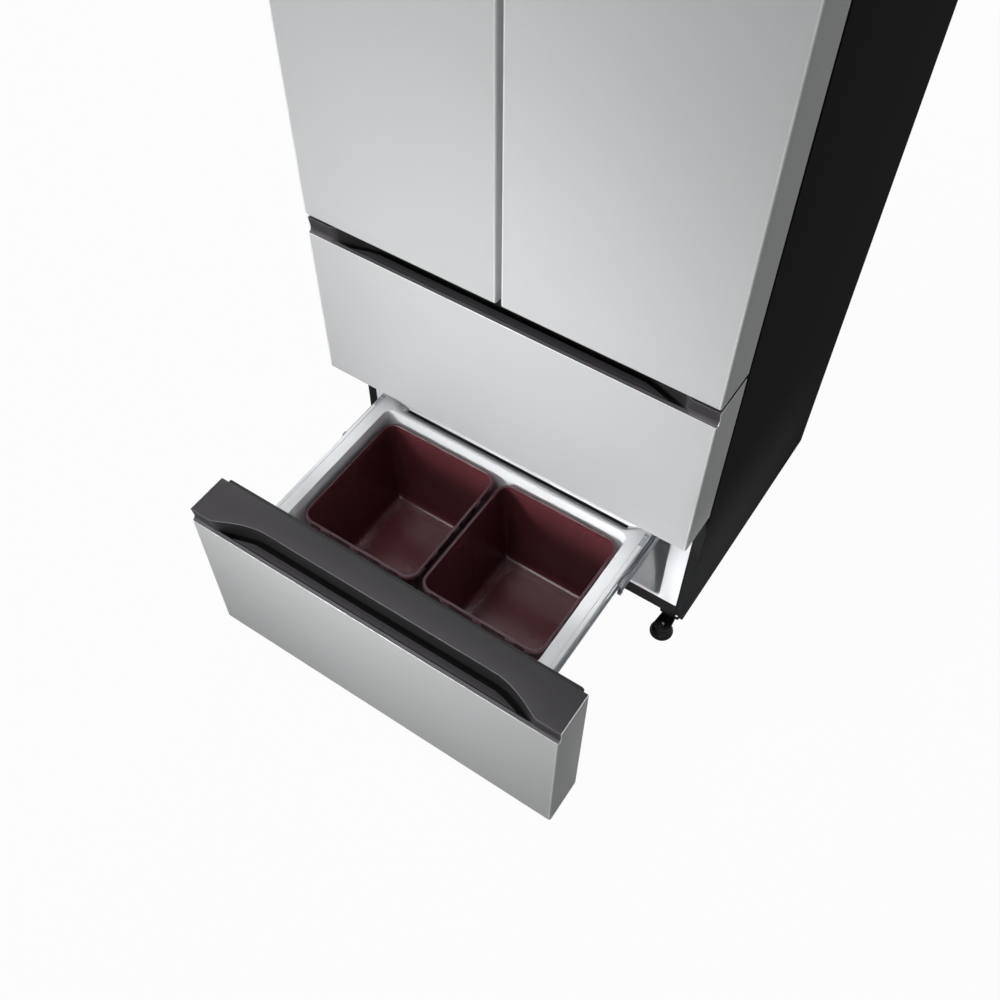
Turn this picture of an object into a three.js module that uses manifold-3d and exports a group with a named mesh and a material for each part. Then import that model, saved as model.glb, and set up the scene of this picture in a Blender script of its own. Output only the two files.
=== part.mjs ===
// A free-standing kimchi refrigerator: two hinged doors above two full-width drawers, the lower one drawn out.
// Millimetres. +X is the right as seen from the front, +Y runs towards the wall, +Z is up.
// Depths are counted from the front face of the closed doors, and the whole is centred at the end.

import * as THREE from 'three';
import { mergeVertices } from 'three/addons/utils/BufferGeometryUtils.js';
import Module from 'manifold-3d';

const wasm = await Module();
wasm.setup();

// ---------------------------------------------------------------- driving dimensions

// Cabinet
const cabinetWidth = 795;
const cabinetDepth = 578.4; // frame face to back
const cabinetBottom = 45; // clear height under the cabinet
const sheet = 1.2; // sheet steel of case and fronts
const panWall = 2; // base pan and machine compartment sheet
const liner = 2.5; // moulded liners
const gap = 0.3; // between pieces that touch
const frameWidth = 21; // dark frame around the liners
const sideWall = 62.5; // insulated side, outside to inside
const topWall = 50;
const baseWall = 43;
const roomCorner = 15;

// Fronts, from the floor up
const lowerFrontBottom = 40;
const lowerSteelHeight = 344;
const middleSteelHeight = 336;
const doorHeight = 1020;
const capHeight = 30; // handle cap above the steel face
const drawerGap = 13; // lower front to middle front
const doorGap = 12; // middle front to doors
const doorsGap = 8.4; // left door to right door
const frontThickness = 90.5;
const sealThickness = 8.1;

// Door seals
const sealInset = 12.5;
const sealWidth = 14;
const sealMeetingInset = 6; // seal to the door edge at the middle

// Compartments
const openingInset = 28; // drawer front edge to compartment opening
const upperFloorInset = 45; // door edge to the floor of the upper rooms
const lowerBackWall = 40.4; // lower compartment to machine compartment
const middleBackWall = 78.4; // middle compartment to cabinet back
const upperBackWall = 63.4; // air duct to cabinet back
const ductDepth = 53.6; // air duct behind the upper rooms
const partitionHalf = 30; // wall between the upper rooms
const machineDepth = 142;
const machineHeight = 285;
const railHeight = 36;
const railDepth = 20;

// Handle caps
const lipDepth = 8; // how far the lip curves back over the steel edge
const lipRise = 9;
const capFront = 5; // front edge of the cap's top plane
const capKeel = 8; // cap below the steel edge
const scoopInset = 47.5; // scoop's end from the drawer's side
const scoopRun = 105; // length of each curved end of the scoop
const scoopDepth = 33;
const scoopSkew = 0.65; // steepens the curve's outer end
const ledgeInset = 30; // ledge's end from the scoop's end
const ledgeRun = 65;
const ledgeFront = 9;
const ledgeDepth = 14;
const ledgeLift = 1;
const pocketDepth = 27;
const pocketWall = 3;
const curveSteps = 10;

// Drawers
const drawerTravel = 415.5; // how far the lower drawer stands open
const slideSpace = 24; // compartment wall to the tub's flange
const sideFlange = 32; // tub's flange beside its interior
const backFlange = 44.3; // tub's flange behind its interior
const tubBackClearance = 12.8; // tub to the compartment's back
const tubFrontWall = 25; // drawer front to tub interior
const tubDrop = 62; // cap top to tub flange
const tubClearance = 21; // under the tub
const tubWall = 3;
const tubFloor = 3;
const tubLip = 12;
const tubCorner = 40;
const slotEnd = 21; // slot's end from the side of the tub's interior
const slotWidth = 8;
const slotInset = 23; // tub interior to the middle of the slot

// Containers
const containerGap = 24; // between the two rims
const containerSide = 8; // tub interior to container rim
const containerFrontSpace = 36;
const containerBackSpace = 19;
const containerDrop = 22; // tub flange to container rim
const containerCorner = 32;
const containerRim = 12;
const containerLip = 5;
const containerWall = 3;

// Telescopic slides: each is three nested channels
const slideHeight = 44;
const slideDrop = 27; // tub flange to slide centre
const slideWall = 2;
const slidePlay = 0.4;
const cabinetRailReach = 12;
const middleRailOffset = 8.7; // cabinet rail back to middle rail back
const middleRailReach = 12;
const drawerRailPlay = 4.2; // drawer rail to the middle rail's back
const railSetback = 6.4; // frame face to cabinet rail
const middleRailSetback = 34.4; // frame face to middle rail, shut
const middleRailEnd = 14.6; // middle rail to the compartment's back, shut
const railEnd = 10; // other rails to the end of what carries them

// Doors
const hingeInset = 12; // hinge axis from the cabinet's side
const hingeDepth = 55; // hinge axis from the door's face
const pinRadius = 4;
const pinLength = 20;
const dykeInset = 46; // raised inner rim from the cabinet's middle
const dykeOuterInset = 9; // raised inner rim to compartment opening
const dykeWidth = 12;
const dykeHeight = 38;
const binDepth = 95;
const binHeight = 100;
const binWall = 3;
const binFloorHeight = 1180; // above the floor
const gripWidth = 180;
const gripDepth = 26;
const gripHeight = 22;
const gripInset = 12;

// Hinges
const hingePlate = 3;
const topHingeLength = 155;
const topHingeWidth = 40;
const midHingeWidth = 25;
const midHingeTab = 32;
const collarRadius = 8;
const coverHeight = 28;
const coverDepth = 180;
const coverSetback = 35;
const coverWall = 3;

// Feet and rollers
const footInset = 31.5; // foot centre from the cabinet's side
const footSetback = 21.6; // foot centre in front of the frame face
const footRadius = 25;
const footHeight = 18;
const footSides = 12;
const studRadius = 5;
const bracketRadius = 23;
const bracketTop = 31;
const bracketThickness = 5;
const bracketPad = 58;
const rollerRadius = 18;
const rollerWidth = 20;
const rollerInset = 62;
const rollerFromBack = 38;
const axleRadius = 4;
const forkWall = 3;
const roundSides = 24;

// Cooling
const shelfThickness = 5;
const shelfFront = 118; // frame face to shelf
const shelfHeight = 1400; // above the floor
const ribSize = 6;
const ductCover = 6;
const coilWidth = 500;
const coilDepth = 34;
const coilHeight = 200;
const coilLift = 50; // room floor to coil
const finPitch = 22;
const finSlot = 14;
const finDepth = 12;
const fanRadius = 55;
const fanHub = 14;
const fanLength = 18;
const fanBlades = 5;
const fanChord = 34;
const fanPitch = Math.PI / 6;
const shaftRadius = 3;
const motorRadius = 18;
const motorLength = 12;
const fanHeight = 380; // room floor to duct fan
const louvreWidth = 150;
const louvreHeight = 10;
const louvreCount = 4;
const louvrePitch = 22;
const louvreInset = 60;
const compressorRadius = 62;
const compressorHeight = 165;
const compressorInset = 182.5; // compressor's axis from the cabinet's side
const mountHeight = 11;
const mountRadius = 9;
const mountPlate = 4;
const mountHalf = 68;
const machineFanX = -70;
const machineFanHeight = 110; // pan to fan axis
const shroudWall = 4;
const condenserX = 20;
const condenserLength = 240;
const condenserHeight = 170;
const condenserDepth = 84;
const ventCount = 8;
const ventPitch = 24;
const ventHeight = 8;
const ventWidth = 230;
const inletWidth = 34;
const inletHeight = 26;
const inletDepth = 14;

// ---------------------------------------------------------------- worked-out positions

const half = cabinetWidth / 2;
const frameFace = frontThickness + sealThickness;
const cabinetBack = frameFace + cabinetDepth;
const lowerSteelTop = lowerFrontBottom + lowerSteelHeight;
const lowerTop = lowerSteelTop + capHeight;
const middleBottom = lowerTop + drawerGap;
const middleSteelTop = middleBottom + middleSteelHeight;
const middleTop = middleSteelTop + capHeight;
const doorBottom = middleTop + doorGap;
const cabinetTop = doorBottom + doorHeight;
const bayHalf = half - sideWall;
const insideHalf = half - sheet - gap; // between the case's sides
const roomTop = cabinetTop - topWall;
const roomFloor = doorBottom + upperFloorInset;
const ductBack = cabinetBack - upperBackWall;
const ductFront = ductBack - ductDepth;
const machineFront = cabinetBack - machineDepth;
const machineTop = cabinetBottom + machineHeight;
const railTop = cabinetBottom + railHeight;
const panTop = cabinetBottom + panWall;
const lowerSplit = lowerTop + drawerGap / 2;
const upperSplit = middleTop + doorGap / 2;
const hingeX = half - hingeInset;
const compressorX = compressorInset - half;
const scoopHalf = half - scoopInset;
const ledgeHalf = scoopHalf - ledgeInset;
const tubHalf = bayHalf - slideSpace; // over the tub's flanges
const tubInnerHalf = tubHalf - sideFlange;
const slotHalf = tubInnerHalf - slotEnd;
const behindFront = frontThickness + gap; // where seals, tubs and bins start
const tubInnerFront = frontThickness + tubFrontWall;
const rollerHeight = rollerRadius * Math.cos(Math.PI / roundSides); // stands on a flat of its rim

// Each room is a box open to the front; a grown copy gives its liner and the space that the liner takes.
const lowerBay = {
  x0: -bayHalf, x1: bayHalf, z0: cabinetBottom + baseWall, z1: lowerTop - openingInset,
  y0: frameFace, y1: machineFront - lowerBackWall,
};
const middleBay = {
  x0: -bayHalf, x1: bayHalf, z0: middleBottom + openingInset, z1: middleTop - openingInset,
  y0: frameFace, y1: cabinetBack - middleBackWall,
};
const leftRoom = {
  x0: -bayHalf, x1: -partitionHalf, z0: roomFloor, z1: roomTop,
  y0: frameFace, y1: ductFront + 1,
};
const rightRoom = { ...leftRoom, x0: partitionHalf, x1: bayHalf };
const duct = { x0: -bayHalf, x1: bayHalf, z0: roomFloor, z1: roomTop, y0: ductFront, y1: ductBack };
const tubBack = (bay) => bay.y1 - tubBackClearance;
const tubInnerBack = (bay) => tubBack(bay) - backFlange;

// ---------------------------------------------------------------- solids

const planeBases = {
  plan: [[1, 0, 0], [0, 1, 0], [0, 0, 1]], // shape in X and Y, extruded along +Z
  front: [[1, 0, 0], [0, 0, 1], [0, -1, 0]], // shape in X and Z, extruded along -Y
  side: [[0, 1, 0], [0, 0, 1], [1, 0, 0]], // shape in Y and Z, extruded along +X
};

// A closed three.js geometry as a solid that can be joined and cut.
function solid(geometry) {
  const plain = geometry.clone();
  plain.deleteAttribute('normal');
  plain.deleteAttribute('uv');
  const merged = mergeVertices(plain, 1e-4);
  return new wasm.Manifold(new wasm.Mesh({
    numProp: 3,
    vertProperties: merged.attributes.position.array,
    triVerts: new Uint32Array(merged.index.array),
  }));
}

function box(x0, x1, y0, y1, z0, z1) {
  const geometry = new THREE.BoxGeometry(x1 - x0, y1 - y0, z1 - z0);
  geometry.translate((x0 + x1) / 2, (y0 + y1) / 2, (z0 + z1) / 2);
  return solid(geometry);
}

// A shape drawn in a plane, made solid between two depths across that plane.
function prism(plane, shape, from, to, curveSegments = 6) {
  const geometry = new THREE.ExtrudeGeometry(shape, { depth: to - from, bevelEnabled: false, curveSegments });
  const [u, v, w] = planeBases[plane].map((axis) => new THREE.Vector3(...axis));
  geometry.applyMatrix4(new THREE.Matrix4().makeBasis(u, v, w));
  const start = plane === 'front' ? -to : from;
  geometry.translate(...w.multiplyScalar(start).toArray());
  return solid(geometry);
}

function roundedRectangle(u0, u1, v0, v1, radius) {
  const shape = new THREE.Shape();
  shape.moveTo(u0 + radius, v0);
  shape.absarc(u1 - radius, v0 + radius, radius, -Math.PI / 2, 0);
  shape.absarc(u1 - radius, v1 - radius, radius, 0, Math.PI / 2);
  shape.absarc(u0 + radius, v1 - radius, radius, Math.PI / 2, Math.PI);
  shape.absarc(u0 + radius, v0 + radius, radius, Math.PI, Math.PI * 1.5);
  return shape;
}

function outline(points) {
  return new THREE.Shape(points.map(([u, v]) => new THREE.Vector2(u, v)));
}

// A round bar from one depth to another along X, Y or Z; centre gives the two other coordinates.
function bar(axis, radius, centre, from, to, sides = roundSides) {
  const shape = new THREE.Shape();
  shape.absarc(centre[0], centre[1], radius, 0, Math.PI * 2);
  return prism({ x: 'side', y: 'front', z: 'plan' }[axis], shape, from, to, sides / 2);
}

// A rectangular ring in the front plane.
function frontRing(x0, x1, z0, z1, width, y0, y1) {
  const hole = box(x0 + width, x1 - width, y0 - 1, y1 + 1, z0 + width, z1 - width);
  return box(x0, x1, y0, y1, z0, z1).subtract(hole);
}

const join = (first, ...rest) => rest.reduce((made, next) => made.add(next), first);
const cut = (first, ...rest) => rest.reduce((made, next) => made.subtract(next), first);

// ---------------------------------------------------------------- scene graph

const looks = {
  silver: { color: 0xc4c6c8, roughness: 0.38, metalness: 0.75 },
  charcoal: { color: 0x4c4a4e, roughness: 0.6, metalness: 0 },
  blackSteel: { color: 0x242628, roughness: 0.45, metalness: 0.3 },
  blackPlastic: { color: 0x131415, roughness: 0.55, metalness: 0 },
  white: { color: 0xe8eaec, roughness: 0.4, metalness: 0 },
  foam: { color: 0xe0cf9a, roughness: 0.9, metalness: 0 },
  seal: { color: 0x1c1c1d, roughness: 0.7, metalness: 0 },
  zinc: { color: 0x9ba3ab, roughness: 0.35, metalness: 0.9 },
  burgundy: { color: 0x5a252c, roughness: 0.25, metalness: 0 },
  clear: { color: 0xdfe8ea, roughness: 0.08, metalness: 0 },
  aluminium: { color: 0xb7babd, roughness: 0.4, metalness: 0.9 },
  machineBlack: { color: 0x101112, roughness: 0.5, metalness: 0.4 },
};

function piece(name, made, look, parent) {
  const { vertProperties, triVerts } = made.getMesh();
  const indexed = new THREE.BufferGeometry();
  indexed.setAttribute('position', new THREE.BufferAttribute(vertProperties, 3));
  indexed.setIndex(new THREE.BufferAttribute(triVerts, 1));
  const geometry = indexed.toNonIndexed();
  geometry.computeVertexNormals();
  const mesh = new THREE.Mesh(geometry, new THREE.MeshStandardMaterial(looks[look]));
  mesh.name = name;
  parent.add(mesh);
  return mesh;
}

// The same piece on the right and, mirrored, on the left.
function pair(name, made, look, parent) {
  piece(`right_${name}`, made, look, parent);
  piece(`left_${name}`, made, look, parent).scale.x = -1;
}

const refrigerator = new THREE.Group();
const cabinet = new THREE.Group();
const middleDrawer = new THREE.Group();
const lowerDrawer = new THREE.Group();
const lowerSlides = new THREE.Group();
refrigerator.add(cabinet, middleDrawer, lowerDrawer, lowerSlides);
lowerDrawer.position.y = -drawerTravel;
lowerSlides.position.y = -drawerTravel / 2;
refrigerator.position.y = -(cabinetBack - drawerTravel) / 2;

// ---------------------------------------------------------------- cabinet shell

// The space of one room, its walls moved out by grow.
function roomSpace(room, grow, start = room.y0) {
  const shape = roundedRectangle(room.x0 - grow, room.x1 + grow, room.z0 - grow, room.z1 + grow,
    roomCorner + grow);
  return prism('front', shape, start, room.y1 + grow, 4);
}

const upperRooms = (grow, start) => join(
  roomSpace(leftRoom, grow, start), roomSpace(rightRoom, grow, start), roomSpace(duct, grow, duct.y0 - grow),
);

function linerFace(z0, z1, extra) {
  const reach = half - frameWidth - gap + extra;
  return box(-reach, reach, frameFace, frameFace + liner + extra, z0 - extra, z1 + extra);
}

const liners = {
  upper: { face: [upperSplit, cabinetTop - frameWidth - gap], space: upperRooms },
  middle: { face: [lowerSplit, upperSplit - gap], space: (grow, start) => roomSpace(middleBay, grow, start) },
  lower: { face: [railTop + gap, lowerSplit - gap], space: (grow, start) => roomSpace(lowerBay, grow, start) },
};

function linerShell({ face, space }) {
  return cut(join(linerFace(...face, 0), space(liner, frameFace)), space(0, frameFace - 1));
}

function makeOuterCase() {
  const wrap = cut(
    box(-half, half, frameFace, cabinetBack, cabinetBottom, cabinetTop),
    box(-half + sheet, half - sheet, frameFace - 1, cabinetBack + 1, cabinetBottom - 1, cabinetTop - sheet),
  );
  const face = cut(
    box(-half, half, frameFace, frameFace + sheet, cabinetBottom, cabinetTop),
    box(-half + frameWidth, half - frameWidth, frameFace - 1, frameFace + sheet + 1, cabinetBottom - 1,
      cabinetTop - frameWidth),
  );
  piece('outer_case', join(wrap, face), 'blackSteel', cabinet);
}

function makeFoamBody() {
  const block = box(-insideHalf, insideHalf, frameFace + sheet + gap, cabinetBack - sheet - gap,
    panTop + gap, cabinetTop - sheet - gap);
  const machineRoom = box(-half, half, machineFront, cabinetBack, cabinetBottom, machineTop + panWall + gap);
  const railSpace = box(-half, half, frameFace, frameFace + railDepth + gap, cabinetBottom, railTop + gap);
  const linerSpaces = Object.values(liners).flatMap(({ face, space }) => [
    linerFace(...face, gap), space(liner + gap, frameFace),
  ]);
  piece('foam_body', cut(block, machineRoom, railSpace, ...linerSpaces), 'foam', cabinet);
}

function makeBackPanel() {
  const low = machineTop + gap;
  const made = box(-insideHalf, insideHalf, cabinetBack - sheet, cabinetBack, low, cabinetTop - sheet - gap);
  piece('back_panel', made, 'blackSteel', cabinet);
}

// Floor of the cabinet with the cheeks and lid of the machine compartment, and the rollers' forks.
function makeBasePan() {
  const front = frameFace + railDepth + gap;
  const back = cabinetBack - sheet - gap;
  const inner = insideHalf - panWall;
  const machineFrom = machineFront + gap;
  const rollerY = cabinetBack - rollerFromBack;
  const forkInner = rollerWidth / 2 + 1;
  const rollerX = half - rollerInset;
  const parts = [
    box(-insideHalf, insideHalf, front, back, cabinetBottom, panTop),
    box(-insideHalf, insideHalf, machineFrom, machineFrom + panWall, cabinetBottom, machineTop),
    box(-insideHalf, insideHalf, machineFrom, back, machineTop - panWall, machineTop),
  ];
  for (const side of [-1, 1]) {
    const [low, high] = [side * inner, side * insideHalf].sort((a, b) => a - b);
    parts.push(box(low, high, machineFrom, back, cabinetBottom, machineTop));
    for (const cheek of [-forkInner - forkWall, forkInner]) {
      const x = side * rollerX + cheek;
      parts.push(box(x, x + forkWall, rollerY - axleRadius * 3, rollerY + axleRadius * 3,
        rollerHeight - axleRadius * 2, panTop));
    }
    parts.push(bar('x', axleRadius, [rollerY, rollerHeight], side * rollerX - forkInner - 1,
      side * rollerX + forkInner + 1, roundSides / 2));
  }
  piece('base_pan', join(...parts), 'zinc', cabinet);
}

function makeFrontRail() {
  const reach = half - frameWidth - gap;
  const made = cut(
    box(-reach, reach, frameFace, frameFace + railDepth, cabinetBottom, railTop),
    box(-reach + panWall, reach - panWall, frameFace + panWall, frameFace + railDepth + 1,
      cabinetBottom + panWall, railTop - panWall),
  );
  piece('front_rail', made, 'blackSteel', cabinet);
}

function makeLiners() {
  const shelfEnd = ductFront - ribSize;
  const ribs = [leftRoom, rightRoom].flatMap(({ x0, x1 }) => [[x0 - 1, x0 + ribSize], [x1 - ribSize, x1 + 1]])
    .map(([x0, x1]) => box(x0, x1, frameFace + shelfFront, shelfEnd, shelfHeight - ribSize, shelfHeight));
  piece('upper_liner', join(linerShell(liners.upper), ...ribs), 'white', cabinet);
  piece('middle_liner', linerShell(liners.middle), 'white', cabinet);
  piece('lower_liner', linerShell(liners.lower), 'white', cabinet);
}

function makeShelves() {
  const z0 = shelfHeight + gap;
  const made = box(rightRoom.x0 + gap, rightRoom.x1 - gap, frameFace + shelfFront, ductFront - ribSize,
    z0, z0 + shelfThickness);
  pair('shelf', made, 'clear', cabinet);
}

// ---------------------------------------------------------------- cooling

// A bladed fan on the Z axis with a bore through its hub, from 0 to its length.
function fan() {
  const blades = Array.from({ length: fanBlades }, (_, i) => {
    const reach = fanRadius - fanHub / 2;
    const geometry = new THREE.BoxGeometry(reach, fanChord, 2);
    geometry.rotateX(fanPitch);
    geometry.translate(fanHub / 2 + reach / 2, 0, fanLength / 2);
    geometry.rotateZ((i / fanBlades) * Math.PI * 2);
    return solid(geometry);
  });
  const hub = join(bar('z', fanHub, [0, 0], 0, fanLength), ...blades);
  return cut(hub, bar('z', shaftRadius + gap, [0, 0], -fanChord, fanLength + fanChord, 12));
}

// A block of fins on the X axis: slots cut from both sides leave the fins on a core.
function finned(x0, x1, y0, y1, z0, z1) {
  const count = Math.floor((x1 - x0 - finSlot) / finPitch);
  const start = (x0 + x1 - (count - 1) * finPitch - finSlot) / 2;
  const slots = Array.from({ length: count }, (_, i) => start + i * finPitch).flatMap((x) => [
    box(x, x + finSlot, y0 - 1, y0 + finDepth, z0 - 1, z1 + 1),
    box(x, x + finSlot, y1 - finDepth, y1 + 1, z0 - 1, z1 + 1),
  ]);
  return cut(box(x0, x1, y0, y1, z0, z1), ...slots);
}

function makeDuct() {
  const edge = roundedRectangle(duct.x0 + gap, duct.x1 - gap, duct.z0 + gap, duct.z1 - gap, roomCorner - gap);
  const coverBack = ductFront + gap + ductCover;
  const fanZ = roomFloor + fanHeight;
  const motorEnd = coverBack + motorLength;
  const plate = prism('front', edge, ductFront + gap, coverBack, 3);
  const louvres = [];
  const roomCentre = (partitionHalf + bayHalf) / 2;
  for (const x of [-roomCentre, roomCentre]) {
    for (let i = 0; i < louvreCount; i += 1) {
      for (const z of [roomFloor + louvreInset + i * louvrePitch, roomTop - louvreInset - i * louvrePitch]) {
        louvres.push(box(x - louvreWidth / 2, x + louvreWidth / 2, ductFront - 1, coverBack + 1,
          z - louvreHeight / 2, z + louvreHeight / 2));
      }
    }
  }
  const motor = join(bar('y', motorRadius, [0, fanZ], coverBack - 1, motorEnd),
    bar('y', shaftRadius, [0, fanZ], motorEnd - 1, motorEnd + 1 + fanLength, 12));
  piece('duct_cover', join(cut(plate, ...louvres), motor), 'white', cabinet);

  const coilBack = ductBack - gap;
  const coilZ = roomFloor + coilLift;
  const coil = finned(-coilWidth / 2, coilWidth / 2, coilBack - coilDepth, coilBack, coilZ, coilZ + coilHeight);
  piece('evaporator', coil, 'aluminium', cabinet);

  const mesh = piece('duct_fan', fan(), 'blackPlastic', cabinet);
  mesh.rotation.x = -Math.PI / 2;
  mesh.position.set(0, motorEnd + 1, fanZ);
}

function makeMachineRoom() {
  const centreY = machineFront + machineDepth / 2;
  const floor = panTop + gap;

  const plateZ = floor + mountHeight;
  const domeSteps = 5;
  const profile = [new THREE.Vector2(0, 0)];
  for (let i = 0; i <= domeSteps; i += 1) {
    const angle = ((i / domeSteps) * Math.PI) / 2;
    const rise = compressorRadius / 2;
    profile.push(new THREE.Vector2(compressorRadius * Math.cos(angle) ** 0.5,
      compressorHeight - rise + rise * Math.sin(angle)));
  }
  profile.splice(1, 0, new THREE.Vector2(compressorRadius, 0));
  profile[profile.length - 1].x = 0;
  const shell = new THREE.LatheGeometry(profile, roundSides);
  shell.rotateX(Math.PI / 2);
  shell.translate(compressorX, centreY, plateZ);
  const base = box(compressorX - mountHalf - mountRadius, compressorX + mountHalf + mountRadius,
    centreY - mountHalf + mountRadius, centreY + mountHalf - mountRadius, plateZ, plateZ + mountPlate);
  const grommets = [-1, 1].flatMap((i) => [-1, 1].map((j) => bar('z', mountRadius,
    [compressorX + i * mountHalf, centreY + j * (mountHalf - mountRadius * 2)], floor, plateZ + 1, 12)));
  piece('compressor', join(solid(shell), base, ...grommets), 'machineBlack', cabinet);

  const fanZ = panTop + machineFanHeight;
  const shroudX = condenserX - shroudWall;
  const motorX = machineFanX + fanLength + 2;
  const y0 = centreY - condenserDepth / 2;
  const y1 = centreY + condenserDepth / 2;
  const shroudHalf = fanRadius + shroudWall * 2;
  const shroud = cut(
    box(motorX - fanLength, shroudX, centreY - shroudHalf, centreY + shroudHalf, floor, fanZ + shroudHalf),
    bar('x', fanRadius + shroudWall, [centreY, fanZ], motorX - fanLength - 1, shroudX + 1),
  );
  const arm = box(motorX + 2, motorX + motorLength, centreY - shroudHalf, centreY + shroudHalf,
    fanZ - shroudWall, fanZ + shroudWall);
  const block = finned(shroudX - 1, condenserX + condenserLength, y0, y1, floor, floor + condenserHeight);
  const motor = join(bar('x', motorRadius, [centreY, fanZ], motorX, motorX + motorLength + 2),
    bar('x', shaftRadius, [centreY, fanZ], motorX - fanLength - 1, motorX + 1, 12));
  piece('condenser', join(shroud, arm, motor, block), 'aluminium', cabinet);

  const mesh = piece('machine_fan', fan(), 'blackPlastic', cabinet);
  mesh.rotation.y = Math.PI / 2;
  mesh.position.set(motorX - fanLength - 1, centreY, fanZ);
}

function makeMachineCover() {
  const y0 = cabinetBack - sheet;
  const vents = [];
  for (const x of [-ventWidth / 2 - ventPitch, ventWidth / 2 + ventPitch]) {
    for (let i = 0; i < ventCount; i += 1) {
      const z = cabinetBottom + ventPitch * (i + 2);
      vents.push(box(x - ventWidth / 2, x + ventWidth / 2, y0 - 1, cabinetBack + 1,
        z - ventHeight / 2, z + ventHeight / 2));
    }
  }
  const inletX = half - frameWidth - inletWidth;
  const inletZ = cabinetBottom + machineHeight / 2;
  const inlet = box(inletX - inletWidth / 2, inletX + inletWidth / 2, y0 - inletDepth, cabinetBack,
    inletZ - inletHeight / 2, inletZ + inletHeight / 2);
  const socket = box(inletX - inletWidth / 2 + panWall, inletX + inletWidth / 2 - panWall,
    cabinetBack - inletDepth, cabinetBack + 1,
    inletZ - inletHeight / 2 + panWall, inletZ + inletHeight / 2 - panWall);
  const plate = box(-insideHalf, insideHalf, y0, cabinetBack, cabinetBottom, machineTop);
  piece('machine_cover', cut(join(cut(plate, ...vents), inlet), socket), 'blackSteel', cabinet);
}

// ---------------------------------------------------------------- feet, rollers, hinges

function makeFeet() {
  const x = half - footInset;
  const y = frameFace - footSetback;
  const under = bracketTop - bracketThickness;
  const padFront = frameFace + gap * 10;
  const padBack = padFront + bracketPad;
  const arm = new THREE.Shape();
  arm.moveTo(x + bracketRadius, padBack);
  arm.lineTo(x - bracketRadius, padBack);
  arm.lineTo(x - bracketRadius, y);
  arm.absarc(x, y, bracketRadius, Math.PI, Math.PI * 2);
  arm.lineTo(x + bracketRadius, padBack);
  const pad = box(x - bracketRadius, x + bracketRadius, padFront, padBack, bracketTop - 1, cabinetBottom - gap);
  const bore = bar('z', studRadius + gap, [x, y], under - 1, bracketTop + 1, footSides);
  pair('foot_bracket', cut(join(prism('plan', arm, under, bracketTop, 6), pad), bore), 'blackPlastic', cabinet);

  const foot = new THREE.LatheGeometry([
    new THREE.Vector2(0, 0),
    new THREE.Vector2(footRadius, 0),
    new THREE.Vector2(footRadius, footHeight / 2),
    new THREE.Vector2(footRadius - 3, footHeight),
    new THREE.Vector2(studRadius * 2, footHeight),
    new THREE.Vector2(studRadius * 2, under - gap),
    new THREE.Vector2(studRadius, under - gap),
    new THREE.Vector2(studRadius, bracketTop + 2),
    new THREE.Vector2(0, bracketTop + 2),
  ], footSides);
  foot.rotateX(Math.PI / 2);
  foot.translate(x, y, 0);
  pair('levelling_foot', solid(foot), 'blackPlastic', cabinet);
}

function makeRollers() {
  const shape = new THREE.Shape();
  const turn = Math.PI / roundSides;
  shape.absarc(0, 0, rollerRadius, turn, turn + Math.PI * 2);
  const wheel = cut(
    prism('side', shape, -rollerWidth / 2, rollerWidth / 2, roundSides / 2),
    bar('x', axleRadius + gap, [0, 0], -rollerWidth, rollerWidth, roundSides / 2),
  );
  for (const [name, side] of [['left_roller', -1], ['right_roller', 1]]) {
    const mesh = piece(name, wheel, 'blackPlastic', cabinet);
    mesh.position.set(side * (half - rollerInset), cabinetBack - rollerFromBack, rollerHeight);
  }
}

function makeHinges() {
  const plateZ = cabinetTop + gap;
  const x1 = half - gap * 10;
  const top = join(
    box(x1 - topHingeWidth, x1, frameFace + gap, hingeDepth - pinRadius * 2 + topHingeLength, plateZ,
      plateZ + hingePlate),
    box(hingeX - pinRadius * 2, x1, hingeDepth - pinRadius * 2, frameFace + 1, plateZ, plateZ + hingePlate),
    bar('z', pinRadius, [hingeX, hingeDepth], cabinetTop - pinLength, plateZ + 1, 12),
  );
  pair('top_hinge', top, 'zinc', cabinet);

  const midZ = upperSplit - hingePlate / 2;
  const tabY = frameFace - gap;
  const mid = join(
    box(half - midHingeWidth, half - gap, hingeDepth - pinRadius * 2, tabY, midZ, midZ + hingePlate),
    box(half - midHingeWidth, half - gap, tabY - hingePlate, tabY, upperSplit - midHingeTab / 2,
      upperSplit + midHingeTab / 2),
    bar('z', collarRadius, [hingeX, hingeDepth], midZ + 1, doorBottom - gap, 12),
    bar('z', pinRadius, [hingeX, hingeDepth], midZ + 1, doorBottom + pinLength, 12),
  );
  pair('mid_hinge', mid, 'zinc', cabinet);
}

function makeHingeCover() {
  const z0 = cabinetTop + gap;
  const z1 = cabinetTop + coverHeight;
  const y1 = coverSetback + coverDepth;
  const doorClear = cabinetTop + hingePlate + gap;
  const made = cut(
    box(-half, half, coverSetback, y1, z0, z1),
    box(-half + coverWall, half - coverWall, coverSetback + coverWall, y1 - coverWall, z0 - 1, z1 - coverWall),
    box(-half - 1, half + 1, coverSetback - 1, frameFace + gap, z0 - 1, doorClear),
  );
  piece('hinge_cover', made, 'charcoal', cabinet);
}

// ---------------------------------------------------------------- doors

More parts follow.
